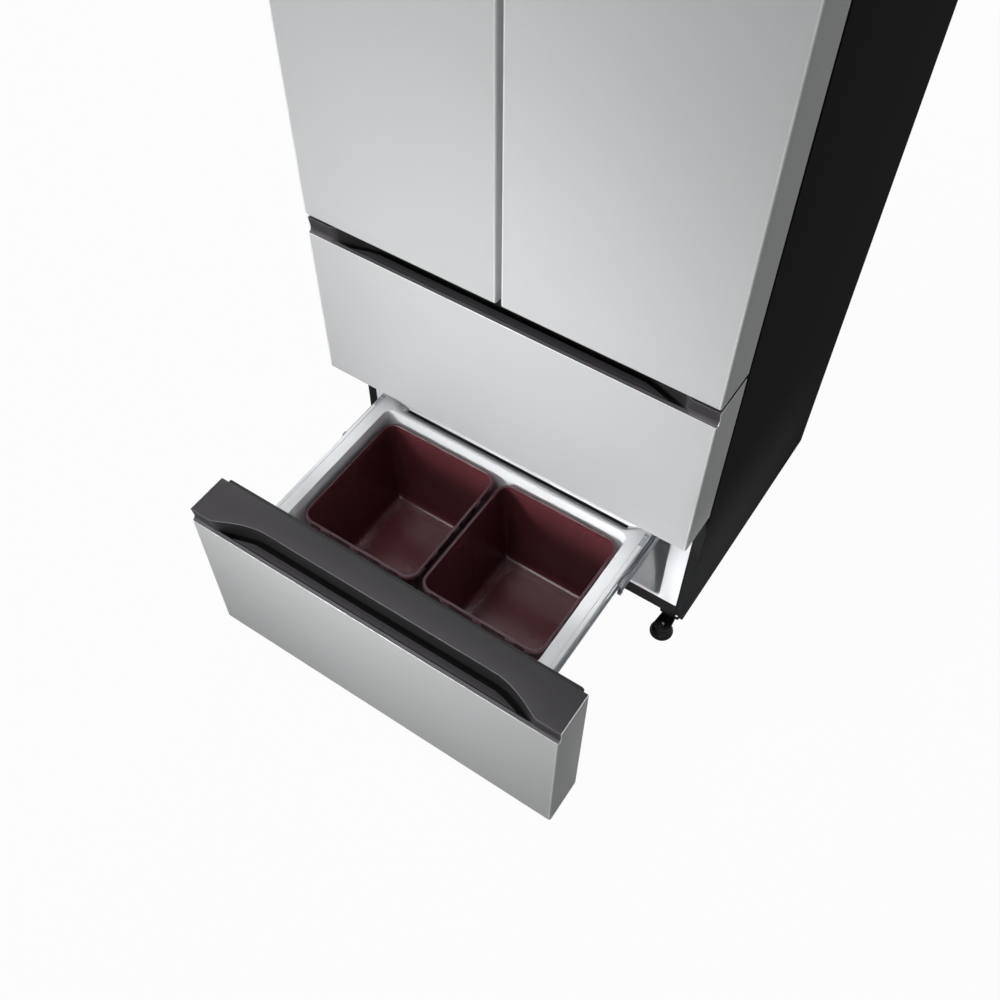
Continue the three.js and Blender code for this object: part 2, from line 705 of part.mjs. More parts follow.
function makeDoors() {
  const x0 = doorsGap / 2;
  const skin = cut(
    box(x0, half, 0, frontThickness, doorBottom, cabinetTop),
    box(x0 + sheet, half - sheet, sheet, frontThickness + 1, doorBottom - 1, cabinetTop + 1),
  );
  pair('door_skin', skin, 'silver', cabinet);

  const inset = sheet + gap;
  const dykeX1 = bayHalf - dykeOuterInset;
  const dykeBack = frameFace + dykeHeight - sealThickness;
  const dyke = frontRing(dykeInset, dykeX1, roomFloor + dykeOuterInset, roomTop - dykeOuterInset, dykeWidth,
    frontThickness - 1, dykeBack);
  const panel = box(x0 + inset, half - inset, inset, frontThickness, doorBottom, cabinetTop);
  const grip = box(x0 + dykeInset, x0 + dykeInset + gripWidth, gripInset, gripInset + gripDepth,
    doorBottom - 1, doorBottom + gripHeight);
  const holes = [[doorBottom - 1, doorBottom + pinLength + 1], [cabinetTop - pinLength - 1, cabinetTop + 1]]
    .map(([z0, z1]) => bar('z', pinRadius + gap, [hingeX, hingeDepth], z0, z1, 12));
  pair('door_body', cut(join(panel, dyke), grip, ...holes), 'white', cabinet);

  const seal = frontRing(x0 + sealMeetingInset, half - sealInset, doorBottom + sealInset, cabinetTop - sealInset,
    sealWidth, behindFront, frameFace - gap);
  pair('door_seal', seal, 'seal', cabinet);

  const binX0 = dykeInset + dykeWidth + gap;
  const binX1 = dykeX1 - dykeWidth - gap;
  const bin = cut(
    box(binX0, binX1, behindFront, behindFront + binDepth, binFloorHeight, binFloorHeight + binHeight),
    box(binX0 + binWall, binX1 - binWall, behindFront + binWall, behindFront + binDepth - binWall,
      binFloorHeight + binWall, binFloorHeight + binHeight + 1),
  );
  pair('door_bin', bin, 'clear', cabinet);
}

// ---------------------------------------------------------------- drawer fronts

// Cross-section of a front in depth and height; its top front corner curves back over the steel edge.
function frontProfile(y0, z0, steelTop) {
  const top = steelTop + capHeight;
  const shape = new THREE.Shape();
  shape.moveTo(y0, z0);
  shape.lineTo(frontThickness, z0);
  shape.lineTo(frontThickness, top);
  shape.lineTo(capFront, top);
  shape.lineTo(lipDepth, steelTop + lipRise);
  shape.quadraticCurveTo(lipDepth, steelTop, y0, steelTop);
  return shape;
}

const smooth = (t) => t * t * (3 - 2 * t);
const clamp = (t) => Math.min(Math.max(t, 0), 1);
const scoopTurn = (x) => clamp((scoopHalf - Math.abs(x)) / scoopRun) ** scoopSkew;
const scoopEdge = (x) => capFront + scoopDepth * smooth(scoopTurn(x));
const ledgeEdge = (x) => ledgeFront + ledgeDepth * smooth(clamp((ledgeHalf - Math.abs(x)) / ledgeRun));

// Points of a scoop curve from left to right, dense where it bends.
function curvePoints(edge, outer, run) {
  const rise = Array.from({ length: curveSteps + 1 }, (_, i) => -outer + (run * i) / curveSteps);
  return [...rise, ...rise.map((x) => -x).reverse()].map((x) => [x, edge(x)]);
}

function capSolid(steelTop) {
  const reach = half - sheet - gap;
  const y0 = sheet + gap;
  const keelZ = steelTop - capKeel;
  const ledgeZ = steelTop + ledgeLift;
  const pocketX = curvePoints(scoopEdge, scoopHalf, scoopRun).filter(([x, y]) => y > ledgeEdge(x) + gap);
  const front = curvePoints(ledgeEdge, ledgeHalf, ledgeRun).filter(([x, y]) => scoopEdge(x) > y + gap);
  const pocketHalf = pocketX.at(-1)[0] + pocketWall;
  const bucket = box(-pocketHalf, pocketHalf, ledgeFront - pocketWall, capFront + scoopDepth + pocketWall,
    ledgeZ - pocketDepth - pocketWall, steelTop);
  const body = join(prism('side', frontProfile(y0, keelZ, steelTop), -reach, reach, 4), bucket);
  const scoop = outline([[-scoopHalf, -1], ...curvePoints(scoopEdge, scoopHalf, scoopRun), [scoopHalf, -1]]);
  const pocket = outline([...pocketX, ...front.reverse()]);
  return cut(body, prism('plan', scoop, ledgeZ, steelTop + capHeight + 1),
    prism('plan', pocket, ledgeZ - pocketDepth, ledgeZ + 1));
}

function makeDrawerFront(name, bottom, steelTop, group) {
  const top = steelTop + capHeight;
  const inset = sheet + gap;
  const reach = half - inset;
  const side = frontProfile(0, bottom, steelTop);
  const skin = join(
    box(-half, half, 0, sheet, bottom, steelTop),
    prism('side', side, -half, -half + sheet, 4),
    prism('side', side, half - sheet, half, 4),
  );
  piece(`${name}_skin`, skin, 'silver', group);
  piece(`${name}_handle_cap`, capSolid(steelTop), 'charcoal', group);

  const bucketZ = steelTop + ledgeLift - pocketDepth - pocketWall - gap;
  const body = cut(
    box(-reach, reach, inset, frontThickness, bottom, steelTop - capKeel - gap),
    box(-scoopHalf, scoopHalf, ledgeFront - pocketWall - gap, capFront + scoopDepth + pocketWall + gap,
      bucketZ, steelTop),
  );
  piece(`${name}_front_body`, body, 'white', group);

  const seal = frontRing(-half + sealInset, half - sealInset, bottom + sealInset, top - sealInset, sealWidth,
    behindFront, frameFace - gap);
  piece(`${name}_seal`, seal, 'seal', group);
}

// ---------------------------------------------------------------- tubs, containers, slides

function makeTub(name, bay, floorZ, flangeZ, group) {
  const y1 = tubBack(bay);
  const bowl = (grow, z0, z1) => prism('plan', roundedRectangle(-tubInnerHalf - grow, tubInnerHalf + grow,
    tubInnerFront - grow, tubInnerBack(bay) + grow, tubCorner + grow), z0, z1, 5);
  const flange = cut(
    box(-tubHalf, tubHalf, behindFront, y1, flangeZ - tubLip, flangeZ),
    box(-tubHalf + tubWall, tubHalf - tubWall, behindFront + tubWall, y1 - tubWall, flangeZ - tubLip - 1,
      flangeZ - tubWall),
  );
  const slotY = tubInnerBack(bay) + slotInset;
  const slot = box(-slotHalf, slotHalf, slotY - slotWidth / 2, slotY + slotWidth / 2,
    flangeZ - tubWall - 1, flangeZ + 1);
  const made = cut(join(flange, bowl(tubWall, floorZ - tubFloor, flangeZ)), bowl(0, floorZ, flangeZ + 1), slot);
  piece(`${name}_tub`, made, 'white', group);
}

function makeContainers(floorZ, flangeZ) {
  const x0 = containerGap / 2;
  const x1 = tubInnerHalf - containerSide;
  const y0 = tubInnerFront + containerFrontSpace;
  const y1 = tubInnerBack(lowerBay) - containerBackSpace;
  const rimZ = flangeZ - containerDrop;
  const ring = (inset, z0, z1) => prism('plan', roundedRectangle(x0 + inset, x1 - inset, y0 + inset, y1 - inset,
    containerCorner - inset), z0, z1, 5);
  const base = floorZ + gap;
  const made = cut(
    join(ring(0, rimZ - containerRim, rimZ), ring(containerLip, base, rimZ)),
    ring(containerLip + containerWall, base + containerWall, rimZ + 1),
  );
  pair('container', made, 'burgundy', lowerDrawer);
}

// One rail of a slide: a channel whose back stands at x and whose two flanges run by reach.
function channel(x, reach, inset, y0, y1, centreZ) {
  const outerHalf = slideHeight / 2 - inset;
  const back = Math.sign(reach) * slideWall;
  const span = (a, b) => [Math.min(a, b), Math.max(a, b)];
  const whole = box(...span(x, x + reach), y0, y1, centreZ - outerHalf, centreZ + outerHalf);
  const hollow = box(...span(x + back, x + reach + Math.sign(reach)), y0 - 1, y1 + 1,
    centreZ - outerHalf + slideWall, centreZ + outerHalf - slideWall);
  return whole.subtract(hollow);
}

function makeSlides(name, bay, flangeZ, travelling, carried) {
  const z = flangeZ - slideDrop;
  const step = slideWall + slidePlay;
  const wallX = bayHalf - gap;
  const middleX = wallX - middleRailOffset + slideWall;
  const y0 = frameFace + railSetback;
  const y1 = bay.y1 - railEnd;
  const drawerX = tubHalf + gap;
  const drawerReach = middleX - slideWall - drawerRailPlay - drawerX;
  pair(`${name}_cabinet_rail`, channel(wallX, -cabinetRailReach, 0, y0, y1, z), 'zinc', cabinet);
  pair(`${name}_floating_rail`,
    channel(middleX, -middleRailReach, step, frameFace + middleRailSetback, bay.y1 - middleRailEnd, z), 'zinc',
    travelling);
  const drawerRail = channel(drawerX, drawerReach, step * 2, behindFront, tubBack(bay) - railEnd, z);
  pair(`${name}_drawer_rail`, drawerRail, 'zinc', carried);
}

function makeDrawer(name, bottom, steelTop, bay, group, slides) {
  const flangeZ = steelTop + capHeight - tubDrop;
  const floorZ = bay.z0 + tubClearance + tubFloor;
  makeDrawerFront(name, bottom, steelTop, group);
  makeTub(name, bay, floorZ, flangeZ, group);
  makeSlides(name, bay, flangeZ, slides, group);
  return { floorZ, flangeZ };
}

makeOuterCase();
makeFoamBody();
makeBackPanel();
makeBasePan();
makeFrontRail();
makeLiners();
makeShelves();
makeDuct();
makeMachineRoom();
makeMachineCover();
makeFeet();
makeRollers();
makeHinges();
makeHingeCover();
makeDoors();
makeDrawer('middle', middleBottom, middleSteelTop, middleBay, middleDrawer, middleDrawer);
const { floorZ, flangeZ } = makeDrawer('lower', lowerFrontBottom, lowerSteelTop, lowerBay, lowerDrawer,
  lowerSlides);
makeContainers(floorZ, flangeZ);

export default refrigerator;
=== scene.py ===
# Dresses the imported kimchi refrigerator: shapes, materials, light and camera.
# Metres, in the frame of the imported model: +X right as seen from the front, +Y to the wall, +Z up.

import math
from functools import cached_property

import bmesh
import bpy
from mathutils import Euler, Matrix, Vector


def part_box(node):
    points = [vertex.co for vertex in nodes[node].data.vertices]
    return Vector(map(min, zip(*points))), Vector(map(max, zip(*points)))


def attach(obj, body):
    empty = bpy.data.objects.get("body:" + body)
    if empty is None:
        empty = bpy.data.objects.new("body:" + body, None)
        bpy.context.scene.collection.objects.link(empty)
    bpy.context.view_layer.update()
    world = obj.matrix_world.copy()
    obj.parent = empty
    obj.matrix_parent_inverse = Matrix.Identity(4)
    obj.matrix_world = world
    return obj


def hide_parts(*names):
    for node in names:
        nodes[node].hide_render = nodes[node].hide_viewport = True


bl_info = {
    "name": "Kimchi refrigerator",
    "version": (1, 0, 0),
    "blender": (4, 5, 0),
    "location": "3D View > Sidebar > Kimchi refrigerator",
    "description": "Shapes, materials, light and camera of a kimchi refrigerator",
    "category": "Object",
}

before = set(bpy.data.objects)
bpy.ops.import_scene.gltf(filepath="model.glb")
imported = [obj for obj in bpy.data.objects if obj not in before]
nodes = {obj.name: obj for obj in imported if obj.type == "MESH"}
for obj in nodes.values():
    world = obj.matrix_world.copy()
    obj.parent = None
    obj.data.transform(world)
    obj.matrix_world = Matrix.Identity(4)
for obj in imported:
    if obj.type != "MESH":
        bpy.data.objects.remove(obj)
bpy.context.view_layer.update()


# ---------------------------------------------------------------- sizes and colours

def real(name, description, default, **kind):
    return bpy.props.FloatProperty(name=name, description=description, default=default, **kind)


def length(name, description, default):
    return real(name, description, default, min=0, unit="LENGTH")


def degrees(name, description, default):
    turn = math.radians(default)
    return real(name, description, turn, subtype="ANGLE", unit="ROTATION")


def power(name, description, default):
    return real(name, description, default, min=0, unit="POWER")


def number(name, description, default):
    return bpy.props.IntProperty(name=name, description=description, default=default, min=1)


def colour(name, description, default):
    return bpy.props.FloatVectorProperty(
        name=name, description=description, default=default, size=3, min=0, max=1, subtype="COLOR")


class FrontSizes(bpy.types.PropertyGroup):
    """Door and drawer fronts with their handle caps."""

    sheet: length("Sheet", "Thickness of the fronts' steel", 0.0012)
    fold: length("Fold", "Radius of the fronts' upright edges", 0.0045)
    edge: length("Edge", "Width of the bright bevel along the steel's edges", 0.0005)
    cap_height: length("Cap height", "Handle cap above the steel face", 0.03)
    keel: length("Keel", "Handle cap below the steel edge", 0.008)
    lip_depth: length("Lip depth", "How far the lip curves back over the steel edge", 0.008)
    lip_rise: length("Lip rise", "Height of the lip's curve", 0.009)
    cap_front: length("Cap front", "Front edge of the cap's top plane", 0.005)
    scoop_inset: length("Scoop inset", "End of the scoop from the drawer's side", 0.0475)
    scoop_run: length("Scoop run", "Length of each curved end of the scoop", 0.105)
    scoop_depth: length("Scoop depth", "How far the scoop cuts into the cap's top", 0.033)
    ledge_inset: length("Ledge inset", "End of the ledge from the scoop's end", 0.03)
    ledge_run: length("Ledge run", "Length of each curved end of the ledge", 0.065)
    ledge_front: length("Ledge front", "Ledge's rear edge at its ends", 0.009)
    ledge_depth: length("Ledge depth", "How much deeper the ledge is in the middle", 0.014)
    pocket: length("Pocket", "Depth of the finger pocket below the ledge", 0.027)
    end_cap: length("End cap", "Height of the plastic ends of doors and drawer fronts", 0.012)
    seal_rise: length("Seal rise", "How far a drawer's seal rises behind its handle cap", 0.0095)


class DrawerSizes(bpy.types.PropertyGroup):
    """Tubs, lift-in containers and slides."""

    tub_corner: length("Tub corner", "Corner radius of the tub near its floor", 0.04)
    mouth_corner: length("Mouth corner", "Corner radius of the tub's opening", 0.016)
    tub_wall: length("Tub wall", "Thickness of the tub", 0.003)
    tub_taper: length("Tub taper", "How far the tub's walls come in toward its floor", 0.016)
    side_flange: length("Side flange", "Width of the tub's side flanges", 0.032)
    front_flange: length("Front flange", "Width of the tub's front flange", 0.0247)
    back_flange: length("Back flange", "Width of the tub's rear flange", 0.0443)
    tub_lip: length("Tub lip", "Height of the skirt under the flange", 0.012)
    groove: length("Groove", "Groove along the flange from its outer edge", 0.0083)
    slot_width: length("Slot width", "Width of the slot in the rear flange", 0.0075)
    slot_inset: length("Slot inset", "Slot's middle from the tub's interior", 0.0172)
    slot_half: length("Slot half", "Half length of the slot", 0.254)
    slot_shift: length("Slot shift", "Slot's middle to the right of the tub's middle", 0.0133)
    container_corner: length("Container corner", "Corner radius of a container's rim", 0.028)
    container_rim: length("Container rim", "Height of a container's rim band", 0.012)
    container_lip: length("Container lip", "How far the rim stands out from the wall", 0.0035)
    container_wall: length("Container wall", "Thickness of a container", 0.002)
    container_front: length("Container front", "Its rim past the CAD form, in front", 0.0088)
    container_back: length("Container back", "Its rim past the CAD form, behind", 0.0120)
    container_near: length("Container near", "Its rim past the CAD form, inward", 0.006)
    container_taper: length("Container taper", "A container's base from the line of its rim", 0.019)
    slide_wall: length("Slide wall", "Thickness of the slides' steel", 0.0011)
    drawer_rail_depth: length("Drawer rail depth", "Thickness of the rail on the tub", 0.0022)
    drawer_rail_height: length("Drawer rail height", "Height of the rail on the tub", 0.016)
    drawer_rail_rise: length("Drawer rail rise", "That rail above the slide's middle", 0.005)
    floating_rail_depth: length("Floating rail depth", "Thickness of the middle rail", 0.0046)
    floating_rail_height: length("Floating rail height", "Height of the middle rail", 0.0265)
    ball: length("Ball", "Diameter of the slides' balls", 0.003)


class CabinetSizes(bpy.types.PropertyGroup):
    """Case, liners, feet and cooling parts."""

    liner: length("Liner", "Thickness of the moulded liners", 0.0025)
    room_corner: length("Room corner", "Corner radius of the compartments", 0.015)
    side_wall: length("Side wall", "Insulated side, outside to inside", 0.0625)
    recess: length("Recess", "Depth of the pressed field low on each side panel", 0.0008)
    fin_pitch: length("Fin pitch", "Distance between cooling fins", 0.005)
    screw: length("Screw", "Diameter of the screw heads", 0.008)
    louvre_rows: number("Louvre rows", "Slots in each block of the machine cover", 8)
    louvre_pitch: length("Louvre pitch", "Distance between the machine cover's slots", 0.024)


class Colours(bpy.types.PropertyGroup):
    """Colours of the finishes, in linear light."""

    silver: colour("Silver steel", "Door and drawer faces", (0.625, 0.636, 0.641))
    charcoal: colour("Charcoal plastic", "Handle caps and hinge cover", (0.0400, 0.0370, 0.0420))
    case: colour("Case steel", "Painted cabinet", (0.0175, 0.0178, 0.0183))
    black: colour("Black plastic", "Feet, fans and inserts", (0.007, 0.007, 0.008))
    white: colour("White plastic", "Liners and tubs", (0.80, 0.815, 0.835))
    foam: colour("Insulation", "Foam between case and liners", (0.74, 0.62, 0.35))
    rubber: colour("Seal rubber", "Door and drawer seals", (0.011, 0.011, 0.012))
    zinc: colour("Zinc steel", "Slides, hinges and base pan", (0.33, 0.36, 0.39))
    burgundy: colour("Burgundy plastic", "Lift-in containers", (0.150, 0.040, 0.048))
    aluminium: colour("Aluminium", "Cooling fins", (0.66, 0.68, 0.70))
    copper: colour("Copper", "Refrigerant pipes", (0.72, 0.33, 0.18))


class StageSizes(bpy.types.PropertyGroup):
    """Camera, lamps and floor."""

    camera_place: bpy.props.FloatVectorProperty(
        name="Camera place", description="Where the photograph was taken from",
        default=(0.7204, -1.2144, 2.0655), size=3, subtype="TRANSLATION", unit="LENGTH")
    camera_down: degrees("Camera down", "How far the camera looks down", 55.04)
    camera_turn: degrees("Camera turn", "How far the camera is turned to the left", 33.93)
    lens: real("Lens", "Focal length on a 36 mm sensor", 40.21, unit="CAMERA")
    shift_x: real("Shift X", "Sideways lens shift", 0.0065)
    shift_y: real("Shift Y", "Upward lens shift", 0.0210)
    key: power("Key", "Power of the large lamp on the left", 5.0)
    top: power("Top", "Power of the lamp over the drawer", 50)
    bay: power("Bay", "Power of the small lamp that lights the open compartment", 0.7)
    back: power("Back", "Power of the large lamp behind", 110)
    sky: real("Sky", "Strength of the room's even light", 0.16)


# ---------------------------------------------------------------- forms

SIDES = (("right", 1), ("left", -1))
DRAWERS = ("middle", "lower")
PAST = 0.01  # how far a cutter goes past the face it cuts


def polar(radius, angle):
    return radius * math.cos(angle), radius * math.sin(angle)


def circle(radius, count):
    return [polar(radius, 2 * math.pi * i / count) for i in range(count)]


def on_axis(axis, u, v, w):
    """A point from two places across an axis and one along it."""
    return {"x": (w, u, v), "y": (u, w, v), "z": (u, v, w)}[axis]


def smooth(t):
    """A rise from 0 to 1 that starts and ends level."""
    t = min(max(t, 0), 1)
    return t * t * (3 - 2 * t)


def rounded(u0, u1, v0, v1, radius, steps=8):
    """Points of a rectangle with round corners; the count doesn't depend on the radius."""
    radius = max(min(radius, (u1 - u0) / 2, (v1 - v0) / 2), 0)
    corners = ((u1 - radius, v0 + radius, -90), (u1 - radius, v1 - radius, 0),
               (u0 + radius, v1 - radius, 90), (u0 + radius, v0 + radius, 180))
    points = []
    for u, v, start in corners:
        for step in range(steps + 1):
            across, up = polar(radius, math.radians(start + 90 * step / steps))
            points.append((u + across, v + up))
    return points


def outline(u0, u1, v0, v1, corner, least=0, steps=8, upright=False):
    """A function that gives the outline drawn in by an inset, at a height or, upright, a depth."""
    def ring(inset, level, own=None):
        radius = max((corner if own is None else own) - inset, least)
        points = rounded(u0 + inset, u1 - inset, v0 + inset, v1 - inset, radius, steps)
        return [(u, level, v) if upright else (u, v, level) for u, v in points]
    return ring


def layers(ring, base, *steps):
    """Rings of an outline, each by its inset, its rise from a base and perhaps its own corner."""
    return [ring(inset, base + rise, *own) for inset, rise, *own in steps]


def added(name, data):
    piece = bpy.data.objects.new(name, data)
    bpy.context.scene.collection.objects.link(piece)
    return piece


class Form:
    """The faces of one piece while it is being made."""

    def __init__(self):
        self.mesh = bmesh.new()

    def loft(self, rings, looped=False, finish_of=None):
        """Joins rings of equally many points; finish_of tells a face's material."""
        made = [[self.mesh.verts.new(point) for point in ring] for ring in rings]
        pairs = list(zip(made, made[1:])) + ([(made[-1], made[0])] if looped else [])
        for step, (a, b) in enumerate(pairs):
            for i in range(len(a)):
                j = (i + 1) % len(a)
                face = self.mesh.faces.new((a[i], a[j], b[j], b[i]))
                if finish_of:
                    face.material_index = finish_of(step, i)
        if not looped:
            self.mesh.faces.new(made[0][::-1])
            self.mesh.faces.new(made[-1])
        return self

    def block(self, low, high, radius=0, finish=0):
        """A box between two corners, its upright edges round."""
        (x0, y0, z0), (x1, y1, z1) = low, high
        steps = 5 if radius else 1
        ring = rounded(min(x0, x1), max(x0, x1), min(y0, y1), max(y0, y1), radius, steps)
        count = len(self.mesh.faces)
        self.loft([[(x, y, z) for x, y in ring] for z in (z0, z1)])
        self.mesh.faces.ensure_lookup_table()
        for face in self.mesh.faces[count:]:
            face.material_index = finish
        return self

    def bar(self, section, start, end, axis="y"):
        """A section drawn across an axis, carried along it."""
        return self.loft([[on_axis(axis, u, v, w) for u, v in section] for w in (start, end)])

    def turned(self, profile, centre, axis="z", sides=32):
        """A profile of radius and height turned about an axis through centre."""
        rings = []
        for radius, height in profile:
            points = [on_axis(axis, *point, height) for point in circle(radius, sides)]
            rings.append([Vector(centre) + Vector(point) for point in points])
        return self.loft(rings)

    def drum(self, radius, start, end, centre, axis="z", sides=32):
        profile = [(0, start), (radius, start), (radius, end), (0, end)]
        return self.turned(profile, centre, axis, sides)

    def pipe(self, path, radius, sides=10):
        """A round pipe along a path, with its bends rounded off."""
        points = [Vector(p) for p in path]
        for _ in range(2):
            eased = [points[0]]
            for a, b in zip(points, points[1:]):
                eased += [a.lerp(b, 0.25), a.lerp(b, 0.75)]
            points = eased + [points[-1]]
        rings = []
        side = None
        for i, point in enumerate(points):
            along = (points[min(i + 1, len(points) - 1)] - points[max(i - 1, 0)]).normalized()
            if side is None:
                side = along.orthogonal().normalized()
            side = (side - along * side.dot(along)).normalized()
            up = along.cross(side)
            rings.append([point + radius * (a * side + b * up) for a, b in circle(1, sides)])
        return self.loft(rings)

    def node(self, name, whole=True):
        """A merged copy of a CAD node's faces; whole makes each flat face one."""
        mesh = self.mesh
        mesh.from_mesh(nodes[name].data)
        bmesh.ops.remove_doubles(mesh, verts=mesh.verts, dist=1e-6)
        if whole:
            flat = math.radians(0.5)
            bmesh.ops.dissolve_limit(mesh, angle_limit=flat, verts=mesh.verts, edges=mesh.edges)
        return self

    def moved(self, change):
        for vert in self.mesh.verts:
            vert.co = change(vert.co)
        return self

    def finish(self, name, sharp=32, outward=True):
        """The finished piece, its faces outward and its sharp edges marked."""
        mesh = self.mesh
        bmesh.ops.remove_doubles(mesh, verts=mesh.verts, dist=2e-6)
        bmesh.ops.dissolve_degenerate(mesh, edges=mesh.edges, dist=1e-7)
        if outward:
            bmesh.ops.recalc_face_normals(mesh, faces=mesh.faces)
        for face in mesh.faces:
            face.smooth = True
        limit = math.radians(sharp)
        for edge in mesh.edges:
            edge.smooth = len(edge.link_faces) == 2 and edge.calc_face_angle(0) < limit
        made = bpy.data.meshes.new(name)
        mesh.to_mesh(made)
        mesh.free()
        return added(name, made)


def modified(piece, label, kind, **settings):
    change = piece.modifiers.new(label, kind)
    for key, value in settings.items():
        setattr(change, key, value)
    return piece


def settled(piece):
    """Makes what the piece's modifiers give its own plain mesh."""
    bpy.context.view_layer.update()
    evaluated = piece.evaluated_get(bpy.context.evaluated_depsgraph_get())
    made = bpy.data.meshes.new_from_object(evaluated)
    made.name = piece.name
    piece.modifiers.clear()
    piece.data = made
    return piece


def carve(piece, *cutters):
    """Cuts closed forms out of a piece."""
    for i, form in enumerate(cutters):
        cutter = form.finish(f"{piece.name}_cutter_{i}")
        settled(modified(
            piece, "Cut", "BOOLEAN", operation="DIFFERENCE", solver="EXACT", object=cutter))
        bpy.data.objects.remove(cutter)
    return piece


def bevel(piece, width, segments=2, limit=32, bright=False):
    """Rounds a piece's sharp edges; bright gives the new faces its second material, on the steel
    fronts a painted highlight.
    """
    return modified(
        piece, "Bevel", "BEVEL", width=width, segments=segments, limit_method="ANGLE",
        angle_limit=math.radians(limit), harden_normals=True, miter_outer="MITER_ARC",
        material=1 if bright else -1)


def evened(piece):
    """Keeps large flat faces evenly shaded beside small round ones."""
    return modified(piece, "Normals", "WEIGHTED_NORMAL", keep_sharp=True, weight=100)


def wall(piece, thickness):
    """Gives an open sheet its thickness, inward, and its cut edges the second material."""
    return modified(
        piece, "Sheet", "SOLIDIFY", material_offset_rim=1, thickness=thickness, offset=-1,
        use_even_offset=True)


looks = {}


def place(piece, look, body="cabinet", *replaced, slot=None):
    """Gives a piece its look, or several, and its body, in place of the CAD nodes it stands for."""
    names = [look] if isinstance(look, str) else look
    indices = [face.material_index for face in piece.data.polygons]
    piece.data.materials.clear()
    for name in names:
        piece.data.materials.append(looks[name])
    piece.data.polygons.foreach_set("material_index", indices)
    if replaced:
        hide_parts(*replaced)
    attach(piece, body)
    return piece


def softened(node, look, width, segments=2, body="cabinet", change=None, slot=None):
    """Stands for a CAD node with the same shape, its edges rounded."""
    form = Form().node(node)
    if change:
        form.moved(change)
    piece = evened(bevel(form.finish(f"{node}_shape"), width, segments))
    return place(piece, look, body, node, slot=slot)


def span(name):
    low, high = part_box(name)
    return Vector(low), Vector(high)


def inner_outer(low, high, sign):
    """The x of a box's side toward the refrigerator's middle, and of its other side."""
    return (low.x, high.x) if sign > 0 else (high.x, low.x)


# ---------------------------------------------------------------- repeated parts

def tree_named(name, inputs):
    """A Geometry Nodes tree with named inputs after its geometry, and those inputs' identifiers."""
    tree = bpy.data.node_groups.new(name, "GeometryNodeTree")

    def socket(label, side, kind):
        made = tree.interface.new_socket(name=label, in_out=side, socket_type=f"NodeSocket{kind}")
        return made.identifier
    socket("Geometry", "INPUT", "Geometry")
    ids = {label: socket(label, "INPUT", kind) for label, kind in inputs.items()}
    socket("Geometry", "OUTPUT", "Geometry")
    return tree, ids, tree.nodes.new("NodeGroupInput").outputs


def linked(tree, kind, settings=None, output=0, **sources):
    """An output of a new node whose named sockets take values or other nodes' outputs."""
    made = tree.nodes.new(kind)
    for key, value in (settings or {}).items():
        setattr(made, key, value)
    for label, source in sources.items():
        socket = made.inputs[label.replace("_", " ")]
        if isinstance(source, bpy.types.NodeSocket):
            tree.links.new(source, socket)
        else:
            socket.default_value = source
    return made.outputs[output]


def close_tree(tree, start, **sources):
    """Sets instances on points, realises them, gives them the material and ends the tree."""
    spread = linked(tree, "GeometryNodeInstanceOnPoints", **sources)
    real = linked(tree, "GeometryNodeRealizeInstances", Geometry=spread)
    dressed = linked(tree, "GeometryNodeSetMaterial", Geometry=real, Material=start["Finish"])
    tree.links.new(dressed, tree.nodes.new("NodeGroupOutput").inputs[0])


def scatter_tree():
    """One part set on every point, its Z axis along the point's facing."""
    tree, ids, start = tree_named(
        "Set on points", {"Part": "Object", "Size": "Float", "Finish": "Material"})
    part = linked(tree, "GeometryNodeObjectInfo", output="Geometry", Object=start["Part"])
    facing = linked(
        tree, "GeometryNodeInputNamedAttribute", {"data_type": "FLOAT_VECTOR"}, Name="facing")
    turn = linked(tree, "FunctionNodeAlignRotationToVector", {"axis": "Z"}, Vector=facing)
    close_tree(tree, start, Points=start["Geometry"], Instance=part, Rotation=turn,
               Scale=start["Size"])
    return tree, ids


def row_tree():
    """Plates of one size in a straight row."""
    tree, ids, start = tree_named("Row of plates", {
        "Count": "Int", "Start": "Vector", "Step": "Vector", "Plate": "Vector", "Tilt": "Vector",
        "Finish": "Material"})
    line = linked(tree, "GeometryNodeMeshLine", {"mode": "OFFSET"}, Count=start["Count"],
                  Start_Location=start["Start"], Offset=start["Step"])
    plate = linked(tree, "GeometryNodeMeshCube", Size=start["Plate"])
    close_tree(tree, start, Points=line, Instance=plate, Rotation=start["Tilt"])
    return tree, ids


trees = {}


def through_tree(piece, key, look, **values):
    """Runs a piece through one of the trees and keeps the result as its plain mesh."""
    tree, ids = trees[key]
    change = piece.modifiers.new(tree.name, "NODES")
    change.node_group = tree
    for label, value in values.items():
        change[ids[label]] = value
    change[ids["Finish"]] = looks[look]
    return settled(piece)


def scattered(name, part, size, spots, look="zinc", body="cabinet"):
    """Copies of a small steel part on spots, each a point and the direction it faces."""
    points = bpy.data.meshes.new(name)
    points.from_pydata([point for point, _ in spots], [], [])
    facing = points.attributes.new("facing", "FLOAT_VECTOR", "POINT")
    for i, (_, direction) in enumerate(spots):
        facing.data[i].vector = direction
    piece = added(name, points)
    through_tree(piece, "scatter", look, Part=bpy.data.objects[part], Size=size)
    return place(piece, look, body, slot="zinc_steel")


def plates(name, count, start, step, plate, look, tilt=(0, 0, 0)):
    piece = added(name, bpy.data.meshes.new(name))
    through_tree(piece, "row", look, Count=count, Start=start, Step=step, Plate=plate, Tilt=tilt)
    return place(piece, look)


def screw_head(name, height):
    """A pan head with a cross recess, one unit across, standing on its Z axis."""
    head = Form().turned(
        [(0, -0.02), (0.5, -0.02), (0.5, height * 0.2), (0.46, height * 0.5),
         (0.34, height * 0.86), (0.16, height), (0, height)], (0, 0, 0), sides=20).finish(name)
    floor, long, short = height * 0.4, 0.28, 0.05
    return carve(head, *(Form().block((-x, -y, floor), (x, y, 0.5))
                         for x, y in ((long, short), (short, long))))


